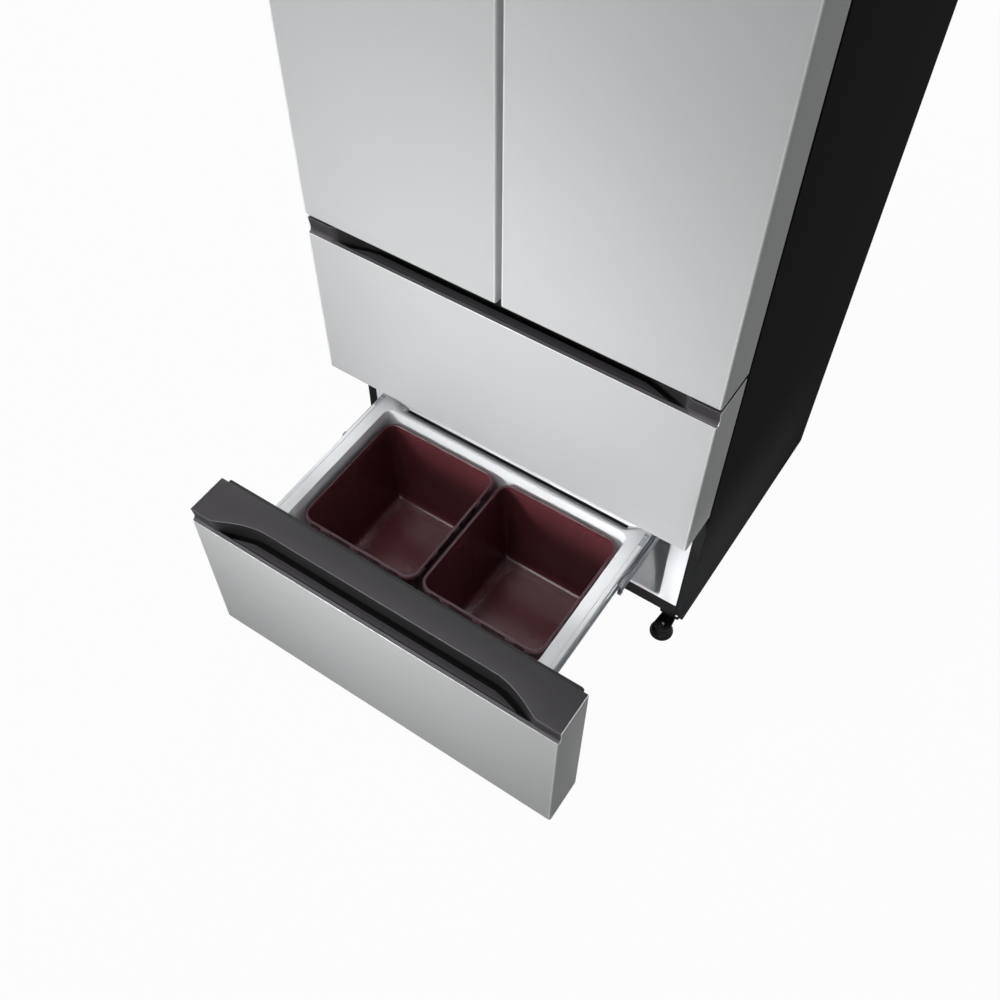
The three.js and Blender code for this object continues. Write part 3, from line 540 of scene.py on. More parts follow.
def ball():
    """A ball one unit across."""
    arc = [polar(0.5, math.pi * i / 8) for i in range(9)]
    return Form().turned([(v, -u) for u, v in arc], (0, 0, 0), sides=12).finish("ball")


# ---------------------------------------------------------------- materials

class Value:
    """An output inside a material; arithmetic on it adds the Math nodes."""

    def __init__(self, look, socket):
        self.look = look
        self.socket = socket

    def math(self, operation, *terms):
        return self.look.node("ShaderNodeMath", dict(enumerate(terms)), operation=operation)

    def __add__(self, other):
        return self.math("ADD", self, other)

    def __radd__(self, other):
        return self.math("ADD", other, self)

    def __mul__(self, other):
        return self.math("MULTIPLY", self, other)

    def __rmul__(self, other):
        return self.math("MULTIPLY", other, self)


class Look:
    """The nodes of one material or of the room's light."""

    def __init__(self, owner):
        owner.use_nodes = True
        self.owner = owner
        self.tree = owner.node_tree
        self.tree.nodes.clear()

    @classmethod
    def named(cls, name):
        return cls(bpy.data.materials.new(name))

    @cached_property
    def place(self):
        return self.node("ShaderNodeTexCoord", output="Object")

    def node(self, kind, inputs=None, output=0, **settings):
        """A node with its settings made first, then its sockets' values or links."""
        made = self.tree.nodes.new(kind)
        for key, value in settings.items():
            setattr(made, key, value)
        for key, value in (inputs or {}).items():
            socket = made.inputs[key]
            if isinstance(value, Value):
                self.tree.links.new(value.socket, socket)
            else:
                socket.default_value = value
        return Value(self, made.outputs[output]) if made.outputs else None

    def noise(self, scale, detail=2.0, stretch=(1, 1, 1)):
        """Noise between 0 and 1 over the piece, finer with a higher scale."""
        spot = self.node("ShaderNodeMapping", {"Vector": self.place, "Scale": stretch})
        return self.node("ShaderNodeTexNoise", {"Vector": spot, "Scale": scale, "Detail": detail})

    def cells(self, scale, output="Distance"):
        """Cells over the piece, finer with a higher scale."""
        inputs = {"Vector": self.place, "Scale": scale}
        return self.node("ShaderNodeTexVoronoi", inputs, output, feature="F1")

    def tint(self, factor, tone, dark, light):
        """A tone between its darker and its lighter shade, chosen by a factor."""
        ends = {0: factor, 6: (*shade(tone, dark), 1), 7: (*shade(tone, light), 1)}
        return self.node("ShaderNodeMix", ends, output=2, data_type="RGBA")

    def bump(self, height, distance, strength):
        inputs = {"Height": height, "Distance": distance, "Strength": strength}
        return self.node("ShaderNodeBump", inputs)

    def surface(self, **inputs):
        """Ends the material in one Principled surface."""
        values = {key.replace("_", " "): value for key, value in inputs.items()}
        shader = self.node("ShaderNodeBsdfPrincipled", values)
        self.node("ShaderNodeOutputMaterial", {"Surface": shader})
        return self.owner


def shade(tone, factor):
    return tuple(channel * factor for channel in tone)


def steel_face(tone):
    """Satin coated steel: a very fine flake under a smooth coat, with a slow drift in gloss."""
    look = Look.named("silver_steel")
    flake = look.noise(2600, 2)
    drift = look.noise(3.5, 3)
    return look.surface(
        Base_Color=look.tint(flake * 0.6 + drift * 0.4, tone, 0.94, 1.04), Metallic=0.3,
        Roughness=0.42 + flake * 0.06 + drift * 0.05, Specular_IOR_Level=0.2,
        Normal=look.bump(flake, 0.00003, 0.5))


def moulded(name, tone, roughness, grain, depth, coat=0.0, spread=0.10, shine=0.5):
    """Moulded plastic with a spark-eroded grain."""
    look = Look.named(name)
    fine = look.noise(grain, 3)
    broad = look.noise(9, 2)
    return look.surface(
        Base_Color=look.tint(broad * 0.5 + fine * 0.5, tone, 1 - spread, 1 + spread),
        Roughness=roughness - 0.05 + fine * 0.07 + broad * 0.05, Coat_Weight=coat,
        Coat_Roughness=0.2, Specular_IOR_Level=shine, Normal=look.bump(fine, depth, 0.6))


def painted(name, tone, roughness, gloss=0.5):
    """Painted sheet steel with a slight orange peel."""
    look = Look.named(name)
    peel = look.noise(420, 2)
    broad = look.noise(2.5, 3)
    return look.surface(
        Base_Color=look.tint(broad, tone, 0.85, 1.2),
        Roughness=roughness + peel * 0.05 + broad * 0.06, Specular_IOR_Level=gloss,
        Normal=look.bump(peel, 0.00008, 0.5))


def galvanised(tone):
    """Zinc-coated steel: pale spangles and faint rolling lines."""
    look = Look.named("zinc_steel")
    spangle = look.node("ShaderNodeSeparateColor", {"Color": look.cells(160.0, "Color")})
    rolled = look.noise(60, 3, (1, 0.02, 1))
    mixed = spangle * 0.5 + rolled * 0.5
    return look.surface(
        Base_Color=look.tint(mixed, tone, 0.85, 1.12), Metallic=0.85,
        Roughness=0.26 + mixed * 0.14, Normal=look.bump(rolled, 0.00002, 0.4))


def metal(name, tone, roughness, metallic=0.95):
    """Bare metal with fine drawn lines."""
    look = Look.named(name)
    drawn = look.noise(220, 3, (0.05, 1, 1))
    dull = look.noise(18, 3)
    return look.surface(
        Base_Color=look.tint(dull, tone, 0.82, 1.1), Metallic=metallic,
        Roughness=roughness + drawn * 0.08 + dull * 0.08, Normal=look.bump(drawn, 0.00002, 0.4))


def foam(tone):
    """Rigid insulation with its cell skin."""
    look = Look.named("insulation")
    cells = look.cells(240.0)
    return look.surface(
        Base_Color=look.tint(look.noise(14, 4), tone, 0.82, 1.05), Roughness=0.85 + cells * 0.1,
        Normal=look.bump(cells, 0.0004, 0.7))


def rubber(tone):
    """Soft seal rubber, matt with a faint bloom."""
    look = Look.named("seal_rubber")
    bloom = look.noise(26, 3)
    return look.surface(
        Base_Color=look.tint(bloom, tone, 0.8, 1.6), Roughness=0.55 + bloom * 0.15,
        Normal=look.bump(look.noise(1500, 2), 0.00005, 0.5))


def see_through(name, tone, roughness, weight):
    """Clear or tinted plastic or glass, with fine flow marks in its gloss."""
    look = Look.named(name)
    flow = look.noise(30, 3, (1, 1, 0.2))
    return look.surface(
        Base_Color=look.tint(flow, tone, 0.92, 1.06), Transmission_Weight=weight, IOR=1.46,
        Roughness=roughness + flow * 0.06, Normal=look.bump(flow, 0.00005, 0.3))


class KIMCHI_OT_materials(bpy.types.Operator):
    """Make the finishes of every piece"""

    bl_idname = "kimchi.materials"
    bl_label = "Materials"

    def execute(self, context):
        tones = context.scene.kimchi_colours
        dark, wine = tones.charcoal, tones.burgundy
        deep, even, slight, faint = 0.00006, 0.00004, 0.00003, 0.00002  # depths of the grain
        looks.update({
            "silver": steel_face(tones.silver),
            "charcoal": moulded("charcoal_plastic", dark, 0.5, 1300, deep, shine=0.2),
            # A darker copy of the charcoal: painted shade for the finger pocket and the groove.
            "pocket": moulded("pocket_plastic", shade(dark, 0.2), 0.5, 1300, deep),
            "lip": moulded("lip_plastic", shade(dark, 1.4), 0.5, 900, 0.00015, spread=0.25),
            # A lighter copy of the charcoal: a painted highlight along the cap's rims.
            "rim": moulded("rim_plastic", shade(dark, 2.3), 0.35, 1300, slight),
            # Bright metal: the bracket screw's own finish, and on the steel fronts a painted
            # highlight along the edges and folds.
            "bright": metal("bright_edge", (0.9, 0.91, 0.92), 0.3, 0.4),
            "case": painted("black_steel", tones.case, 0.6, 0.01),
            "back": painted("back_steel", shade(tones.case, 1.9), 0.38, 0.45),
            "black": moulded("black_plastic", tones.black, 0.42, 1200, deep, spread=0.2),
            "white": moulded(
                "white_plastic", tones.white, 0.32, 900, slight, coat=0.25, spread=0.02),
            "foam": foam(tones.foam),
            "rubber": rubber(tones.rubber),
            "zinc": galvanised(tones.zinc),
            "burgundy": see_through("burgundy_plastic", wine, 0.2, 0.4),
            # Lit, shaded and highlighted copies of one burgundy for the rim band: painted light on
            # its outer face, painted shade on its top and a painted highlight line.
            "band": moulded("burgundy_rim", (0.20, 0.09, 0.11), 0.35, 1200, even),
            "band_painted_shade": moulded("burgundy_rim_top", (0.060, 0.026, 0.034), 0.35, 1200, even),
            "band_painted_highlight": moulded("burgundy_rim_edge", (0.15, 0.08, 0.095), 0.3, 1200, faint),
            # Near-black plates in the clip seats: painted shade in the recesses.
            "clip": moulded("burgundy_clip", shade(wine, 0.05), 0.5, 1200, even, spread=0.2),
            "grey": moulded("grey_plastic", (0.40, 0.43, 0.46), 0.4, 1200, even),
            "gloss": moulded("gloss_plastic", shade(tones.black, 0.6), 0.3, 1200, slight,
                             coat=0.1, spread=0.2, shine=0.12),
            "glass": see_through("shelf_glass", (0.86, 0.95, 0.93), 0.02, 0.95),
            "clear": see_through("clear_plastic", (0.90, 0.94, 0.96), 0.06, 0.9),
            "aluminium": metal("aluminium", tones.aluminium, 0.3),
            "copper": metal("copper_pipe", tones.copper, 0.25),
            "compressor": painted("compressor_black", tones.case, 0.28),
        })
        return {"FINISHED"}


# ---------------------------------------------------------------- fronts

FOLD_STEPS = 6
# Faces along the cap's outline: the lip, the groove behind it, the finger pocket and the rims; the
# groove and pocket take painted shade, the rims a painted highlight.
LIP_FACE, GROOVE_FACES, POCKET_FACES, HIGHLIGHT_RIM_FACES = 2, range(3, 6), range(9, 25), (7, 8, 25, 26)
END_GAP = 0.0005  # between a front's plastic ends and its inner body
PIN_IN, PIN_BACK, PIN_HOLE = 0.012, 0.055, 0.0047  # a hinge pin's place in the steel, its hole
LEDGE = 0.001  # height of the cap's ledge over the steel edge
SCOOP_HEIGHTS = (LEDGE, 0.002, 0.0035, 0.0055, 0.009, 0.014, 0.02, 0.026, 0.0289)
# The finger pocket's line: shares of its breadth and of its depth.
POCKET_LINE = (
    (0.06, 0.55), (0.16, 0.86), (0.38, 1), (0.66, 1), (0.86, 0.9), (0.97, 0.66), (1, 0.3))
# A seal's section: shares of its width, inward, and of its depth, backward.
SEAL_WIDTH = 0.014
SEAL_SECTION = (
    (0, 0.16), (0, 0.42), (0.09, 0.5), (0.09, 0.56), (0, 0.64), (0, 0.88), (0.07, 1), (0.93, 1),
    (1, 0.88), (1, 0.64), (0.91, 0.56), (0.91, 0.5), (1, 0.42), (1, 0.16), (0.93, 0), (0.07, 0))


def folded_front(name, low, high, steel_top, sizes):
    """A front's steel: face, round upright edges, and side plates that rise beside a handle cap."""
    x0, x1, face, radius = low.x, high.x, low.y, sizes.fold
    fold = [polar(radius, math.pi / 2 * i / FOLD_STEPS) for i in range(FOLD_STEPS + 1)]
    path = [(x0, high.y)] + [(x0 + radius - u, face + radius - v) for u, v in fold]
    path += [(x0 + x1 - x, y) for x, y in reversed(path)]
    # Strips on each side of the folds' middle take the bright second material: a painted highlight
    # along the upright edges.
    bright = [FOLD_STEPS + 1 + step for step in (-2, -1, 1, 2)]
    last = len(path) - 1
    form = Form()
    rows = [[form.mesh.verts.new((x, y, z)) for x, y in path] for z in (low.z, steel_top)]
    for i in range(last):
        corners = (rows[0][i], rows[0][i + 1], rows[1][i + 1], rows[1][i])
        form.mesh.faces.new(corners).material_index = 1 if i in bright else 0
    if high.z > steel_top + sizes.keel:
        points = [(y, z) for y, z in lip_line(sizes) if y > radius * 1.01]
        points += [(sizes.cap_front, sizes.cap_height), (high.y - face, sizes.cap_height)]
        for end, inner, x in ((0, 1, x0), (last, last - 1, x1)):
            extra = [form.mesh.verts.new((x, face + y, steel_top + z)) for y, z in points]
            ring = [rows[1][inner], *extra, rows[1][end]]
            form.mesh.faces.new(ring[::-1] if end else ring)
    # The bevelled and cut edges take the bright material too: a painted highlight along the steel's
    # edges.
    return bevel(wall(form.finish(name, outward=False), sizes.sheet), sizes.edge, bright=True)


def lip_line(sizes, steps=8):
    """Depth and height of the lip's curve above the steel edge."""
    left = [1 - i / steps for i in range(steps + 1)]
    return [(sizes.lip_depth * (1 - t * t), sizes.lip_rise * (1 - t) ** 2) for t in left]


def lip_depth_at(height, sizes):
    """How far back the cap's front is at a height above the steel edge."""
    if height <= sizes.lip_rise:
        t = 1 - math.sqrt(max(height, 0) / sizes.lip_rise)
        return sizes.lip_depth * (1 - t * t)
    share = (height - sizes.lip_rise) / (sizes.cap_height - sizes.lip_rise)
    return sizes.lip_depth + (sizes.cap_front - sizes.lip_depth) * share


def cap_section(x, half, depth, sizes):
    """The cap's outline at x from the drawer's middle: depths and heights from the steel edge."""
    scoop_half = half - sizes.scoop_inset
    ledge_half = scoop_half - sizes.ledge_inset
    turn = min(max((scoop_half - abs(x)) / sizes.scoop_run, 0), 1) ** 0.65
    edge = sizes.cap_front + sizes.scoop_depth * smooth(turn)
    ledge = sizes.ledge_front + sizes.ledge_depth * smooth((ledge_half - abs(x)) / sizes.ledge_run)
    rise = [(max(edge, lip_depth_at(z, sizes)), z) for z in SCOOP_HEIGHTS]
    foot, rim = rise[0][0], rise[-1][0]
    groove = LEDGE - 0.0026 * smooth((foot - 0.0098) / 0.003)
    hollow = smooth((foot - ledge) / 0.007)
    near = min(0.0095, foot)
    keel, top = -sizes.keel, sizes.cap_height

    def on_ledge(step):
        return max(min(ledge - step, foot), near)
    start = on_ledge(0)
    front = [(0.0015, keel), (0.0015, -0.0006), (0.0019, 0), (min(0.0074, foot), LEDGE),
             (min(0.0078, foot), groove), (min(0.0091, foot), groove), (near, LEDGE),
             (on_ledge(0.0012), LEDGE), (on_ledge(0.0004), LEDGE - 0.0003 * hollow),
             (start, LEDGE - 0.0011 * hollow)]
    breadth = max(foot - start, 0)
    pocket = [(start + breadth * share, LEDGE - sizes.pocket * drop * hollow)
              for share, drop in POCKET_LINE]
    over = [(rim + 0.0003, top - 0.0003), (rim + 0.0010, top), (depth - 0.0012, top),
            (depth - 0.0003, top - 0.0003), (depth, top - 0.0012), (depth, keel)]
    sink = keel - sizes.pocket * 0.82 * hollow
    before = max(start - 0.003, 0.0017)
    under = [(foot + 0.003, keel), (foot + 0.003, sink), (before, sink), (before, keel)]
    return front + pocket + rise + over + under


def handle_cap(name, low, high, sizes):
    """The cap along a drawer's top edge: lip, ledge, finger pocket and scooped top plane."""
    half = high.x
    scoop_end = half - sizes.scoop_inset
    curved = scoop_end - sizes.scoop_run
    right = [i * curved / 4 for i in range(5)] + [curved + 0.003 * i for i in range(1, 36)]
    right += [scoop_end + step for step in (0.0006, 0.004, 0.012, 0.03)]
    right.append(half - sizes.sheet - 0.0003)
    stations = [-x for x in reversed(right[1:])] + right
    steel_top = high.z - sizes.cap_height
    rings = [[(x, low.y + y, steel_top + z) for y, z in cap_section(x, half, high.y - low.y, sizes)]
             for x in stations]
    # Pocket faces short of this end take painted shade.
    painted_shade_end = scoop_end - 0.012

    def finish_of(step, i):
        """Charcoal, painted shade in the groove and the scoop's pocket, the paler lip, or a painted
        highlight on the rims, by the place along the outline.
        """
        in_scoop = abs(stations[step] + stations[step + 1]) / 2 < painted_shade_end
        if i == LIP_FACE:
            return 2
        if i in HIGHLIGHT_RIM_FACES:
            return 3
        return 1 if i in GROOVE_FACES or (i in POCKET_FACES and in_scoop) else 0
    return Form().loft(rings, finish_of=finish_of).finish(name, sharp=38)


def framed_seal(name, node, body, rise):
    """A bellows seal that runs round a front; behind a handle cap its upper side rises."""
    low, high = span(node)
    ring = outline(low.x, high.x, low.z, high.z + rise, 0.006, 0.0004, 4, upright=True)
    depth = high.y - low.y
    rings = [ring(across * SEAL_WIDTH, low.y + along * depth) for across, along in SEAL_SECTION]
    place(Form().loft(rings, looped=True).finish(name, sharp=60), "rubber", body, node)


def steel_on(piece_name, node, body, steel_top, sizes):
    low, high = span(node)
    steel = folded_front(piece_name, low, high, steel_top, sizes)
    place(steel, ("silver", "bright"), body, node)


def between(z0, z1=math.inf):
    """A change that keeps points between two heights."""
    return lambda point: Vector((point.x, point.y, min(max(point.z, z0), z1)))


class KIMCHI_OT_drawer_fronts(bpy.types.Operator):
    """Make the steel, handle cap, inner panel and seal of both drawer fronts"""

    bl_idname = "kimchi.drawer_fronts"
    bl_label = "Drawer fronts"

    def execute(self, context):
        sizes = context.scene.kimchi_fronts
        for name in DRAWERS:
            body = f"{name}_drawer"
            low, high = span(f"{name}_skin")
            steel_on(f"{body}_steel", f"{name}_skin", body, high.z - sizes.cap_height, sizes)
            cap = handle_cap(f"{body}_cap", low, high, sizes)
            place(cap, ("charcoal", "pocket", "lip", "rim"), body, f"{name}_handle_cap")
            self.inner_panel(f"{name}_front_body", body, sizes.end_cap)
            framed_seal(f"{body}_seal", f"{name}_seal", body, sizes.seal_rise)
        return {"FINISHED"}

    def inner_panel(self, node, body, height):
        """The white panel behind the steel and the plastic foot under both."""
        low, high = span(node)
        softened(node, "white", 0.0012, 2, body, between(low.z + height + END_GAP))
        ring = outline(low.x, high.x, low.y, high.y, 0.004, steps=5)
        foot = Form().loft(layers(ring, low.z, (0.003, 0.003, 0.006), (0.003, 0.0006, 0.006),
                                  (0, 0.0001), (0, height)))
        place(bevel(foot.finish(f"{body}_foot"), 0.0004), "charcoal", body)


class KIMCHI_OT_doors(bpy.types.Operator):
    """Make the steel, inner body, end caps, seal and bins of both upper doors"""

    bl_idname = "kimchi.doors"
    bl_label = "Upper doors"

    def execute(self, context):
        sizes = context.scene.kimchi_fronts
        for side, sign in SIDES:
            door = f"{side}_door"
            steel = span(f"{door}_skin")
            steel_on(f"{door}_steel", f"{door}_skin", door, steel[1].z, sizes)
            self.inner_body(door, sign, steel, sizes.end_cap)
            framed_seal(f"{door}_gasket", f"{door}_seal", door, 0)
            self.bin(door)
        return {"FINISHED"}

    def inner_body(self, door, sign, steel, height):
        """The white body and its plastic ends, bored for the pin and, below, for the hinge."""
        low, high = span(f"{door}_body")
        lift = height + END_GAP
        softened(f"{door}_body", "white", 0.0022, 3, door, between(low.z + lift, high.z - lift))
        near, outer = inner_outer(*steel, sign)
        pin = (outer - sign * PIN_IN, steel[0].y + PIN_BACK, 0)
        ring = outline(low.x, high.x, low.y, steel[1].y, 0.004, steps=5)
        for label, z0, z1 in (("foot", low.z, low.z + height), ("head", high.z - height, high.z)):
            cap = Form().loft([ring(0, z0), ring(0, z1)]).finish(f"{door}_{label}")
            cutters = [Form().drum(PIN_HOLE, z0 - PAST, z1 + PAST, pin, sides=24)]
            if label == "foot":
                cutters.append(Form().block(
                    (near + sign * 0.046, low.y + 0.0105, z0 - PAST),
                    (near + sign * 0.226, low.y + 0.0365, z1 + PAST), 0.004))
            place(bevel(carve(cap, *cutters), 0.0006), "charcoal", door)

    def bin(self, door):
        """A clear bin with a thick rim and a white rail along its front."""
        node = f"{door}_bin"
        low, high = span(node)
        thick = 0.003
        ring = outline(low.x, high.x, low.y, high.y, 0.014, 0.001, 6)
        levels = layers(ring, low.z, (0.012, 0), (0.006, 0.0012), (0.0025, 0.006))
        levels += layers(ring, high.z, (0.0012, -0.014), (0, -0.0125), (0, -0.001), (0.001, 0),
                         (thick, 0), (thick + 0.001, -0.001))
        levels += layers(ring, low.z, (thick + 0.0025, 0.01), (thick + 0.008, thick), (0.02, thick))
        place(Form().loft(levels).finish(f"{door}_basket", sharp=50), "clear", door, node)
        rail = Form().block((low.x + 0.004, high.y - 0.002, high.z - 0.034),
                            (high.x - 0.004, high.y + 0.0022, high.z - 0.014), 0.001)
        place(bevel(rail.finish(f"{door}_basket_rail"), 0.0012), "white", door)


# ---------------------------------------------------------------- drawers

class KIMCHI_OT_tubs(bpy.types.Operator):
    """Make both drawer tubs with their grooved flanges and rear slots"""

    bl_idname = "kimchi.tubs"
    bl_label = "Drawer tubs"

    def execute(self, context):
        for name in DRAWERS:
            self.tub(name, context.scene.kimchi_drawers)
        return {"FINISHED"}

    def tub(self, name, sizes):
        low, high = span(f"{name}_tub")
        body = f"{name}_drawer"
        thick, top, taper = sizes.tub_wall, high.z, sizes.tub_taper
        groove, mouth, skirt = sizes.groove, sizes.mouth_corner, -sizes.tub_lip
        inner_back = high.y - sizes.back_flange
        bowl = outline(low.x + sizes.side_flange, high.x - sizes.side_flange,
                       low.y + sizes.front_flange, inner_back, sizes.tub_corner)
        edge = outline(low.x, high.x, low.y, high.y, 0.006, 0.0005)
        levels = layers(bowl, low.z, (taper + 0.03, 0), (taper + 0.014, 0), (taper + 0.006, 0.002),
                        (taper + 0.001, 0.008), (taper - thick, 0.018))
        levels += layers(bowl, top, (-thick, -0.03, mouth), (-thick, -0.006, mouth),
                         (-thick - 0.003, -thick, mouth))
        levels += layers(edge, top, (thick, -thick), (thick, skirt), (0.0004, skirt),
                         (0, skirt + 0.0006), (0, -0.0024), (0.0005, -0.0009), (0.0018, -0.0001),
                         (0.0026, 0), (groove - 0.0008, 0), (groove - 0.0005, -0.0016),
                         (groove + 0.0005, -0.0016), (groove + 0.0008, 0))
        levels += layers(bowl, top, (-0.0018, 0, mouth), (-0.0006, -0.0004, mouth),
                         (0, -0.0016, mouth), (0.0002, -0.03, mouth))
        levels += layers(bowl, low.z + thick, (taper, 0.02), (taper + 0.0015, 0.01),
                         (taper + 0.005, 0.004), (taper + 0.01, 0.001), (taper + 0.016, 0),
                         (taper + 0.03, 0))
        tub = Form().loft(levels).finish(f"{body}_tub", sharp=30)
        slot_y, half = inner_back + sizes.slot_inset, sizes.slot_width / 2
        left, right = sizes.slot_shift - sizes.slot_half, sizes.slot_shift + sizes.slot_half
        slot = outline(left, right, slot_y - half, slot_y + half, 0.0008, 0.0008, 3)
        carve(tub, Form().loft(layers(slot, top, (0, -0.02), (0, PAST))))
        place(tub, "white", body, f"{name}_tub")
        # A black trough under the slot: a dark piece standing for the shade in the slot, painted
        # shade.
        trough = layers(slot, top, (0.0002, -0.007), (0.0002, -0.0006), (0.0006, -0.0002),
                        (0.0012, -0.0006), (0.0014, -0.0055))
        place(Form().loft(trough).finish(f"{body}_slot"), "black", body)
        self.catch_and_hooks(name, body, left - 0.0135, slot_y, top)

    def catch_and_hooks(self, name, body, x, y, top):
        """The catch left of the rear slot, and the slides' hooks on the flange."""
        catch = Form().block((x - 0.0115, y - 0.0048, top - 0.001),
                             (x + 0.0115, y + 0.0048, top + 0.0012), 0.001)
        place(bevel(catch.finish(f"{body}_catch"), 0.0005), "grey", body)
        hooks = Form()
        front, back = y - 0.0255, y + 0.0045
        for sign in (-1, 1):
            x0, x1 = sign * 0.302, sign * 0.3108
            hooks.block((x0, front, top - 0.001), (x1, back, top + 0.0007))
            hooks.block((x0 - sign * 0.0006, front, top),
                        (x0 + sign * 0.0009, back - 0.006, top + 0.0016), finish=1)
            hooks.block((x0 + sign * 0.0002, back - 0.0076, top),
                        (x1, back - 0.0061, top + 0.0015), finish=1)
        place(hooks.finish(f"{name}_slide_hooks"), ("grey", "white"), body, slot="zinc_steel")


# The clip seats along each side of a container: distance from the side's middle, and half length.
CLIP_SEATS = ((-0.0915, 0.0105), (-0.035, 0.0255), (0.035, 0.0255), (0.0915, 0.0105))
# The steps of a container's levels that make its rim band, lit with painted light, the rim's top,
# darkened with painted shade, and its bright edge, a painted highlight line.
LIT_BAND_STEPS, SHADED_TOP_STEPS, HIGHLIGHT_EDGE_STEP = range(9, 13), range(13, 20), 18


class KIMCHI_OT_containers(bpy.types.Operator):
    """Make the two lift-in containers with their rims and clip seats, the seats dark with painted
    shade
    """

    bl_idname = "kimchi.containers"
    bl_label = "Containers"

    def execute(self, context):
        for side, sign in SIDES:
            self.container(side, sign, context.scene.kimchi_drawers)
        return {"FINISHED"}

    def container(self, side, sign, sizes):
        low, high = span(f"{side}_container")
        low.y -= sizes.container_front
        high.y += sizes.container_back
        if sign > 0:
            low.x -= sizes.container_near
        else:
            high.x += sizes.container_near
        lip, top, band = sizes.container_lip, high.z, sizes.container_rim
        thick, base = sizes.container_wall, sizes.container_taper
        inside, middle = lip + thick, 0.055
        ring = outline(low.x, high.x, low.y, high.y, sizes.container_corner, 0.004, 10)
        levels = layers(ring, low.z, (middle, 0.002), (base + 0.024, 0.002), (base + 0.022, 0),
                        (base + 0.014, 0), (base + 0.007, 0.002), (base + 0.002, 0.007),
                        (base, 0.016))
        levels += layers(ring, top, (lip + 0.003, -0.05), (lip, -band - 0.012), (lip, -band),
                         (0.0008, -band), (0, 0.0012 - band), (0, -0.002), (0.0005, -0.0005),
                         (0.0014, 0), (0.0024, 0), (0.0028, -0.0012), (0.0035, -0.0012),
                         (0.0039, -0.0002), (0.0046, -0.0003), (inside, -0.0016),
                         (inside + 0.0003, -0.02), (inside + 0.0032, -0.06))
        levels += layers(ring, low.z, (base + thick, 0.024), (base + 0.002 + thick, 0.013),
                         (base + 0.006 + thick, 0.007), (base + 0.014, 0.0045), (middle, 0.0045))

        # The rim band's outer face takes painted light, its top painted shade and one edge step a
        # painted highlight.
        def finish_of(step, _):
            if step == HIGHLIGHT_EDGE_STEP:
                return 3
            return 1 if step in LIT_BAND_STEPS else 2 if step in SHADED_TOP_STEPS else 0
        box = Form().loft(levels, finish_of=finish_of).finish(f"{side}_kimchi_box", sharp=48)
        carve(box, self.seats(low, high, top, band, 0.002))
        place(box, ("burgundy", "band", "band_painted_shade", "band_painted_highlight"), "lower_drawer",
              f"{side}_container")
        # Dark plates set in the seats' recesses: painted shade.
        seats = self.seats(low, high, top - 0.0004, band - 0.0008, -0.0016)
        place(seats.finish(f"{side}_kimchi_box_seats"), "clip", "lower_drawer")

    def seats(self, low, high, top, band, out, deep=0.0022):
        """Blocks along the rim's outer face where the lid's clips hold."""
        form = Form()
        x, y = (low.x + high.x) / 2, (low.y + high.y) / 2
        z0, z1 = top - band + 0.0012, top - 0.0016
        for centre, half in CLIP_SEATS:
            for face, sign in ((low.y, -1), (high.y, 1)):
                form.block((x + centre - half, face - sign * deep, z0),
                           (x + centre + half, face + sign * out, z1))
            for face, sign in ((low.x, -1), (high.x, 1)):
                form.block((face - sign * deep, y + centre - half, z0),
                           (face + sign * out, y + centre + half, z1))
        return form


def channel_section(back, tip, middle, half, thickness, radius, steps=4):
    """A C-shaped rail across its length: back plate, two folds and two flanges."""
    sign = 1 if tip > back else -1
    small = radius - thickness * 0.8
    outer, inner = [(tip, middle + half)], [(tip, middle + half - thickness)]
    for up in (1, -1):
        for i in range(steps + 1):
            b, a = polar(1, math.pi / 2 * i / steps)[::up]
            outer.append((back + sign * radius * (1 - a), middle + up * (half - radius * (1 - b))))
            inner.append((back + sign * (thickness + small * (1 - a)),
                          middle + up * (half - thickness - small * (1 - b))))
    outer.append((tip, middle - half))
    inner.append((tip, middle - half + thickness))
    return outer + inner[::-1]


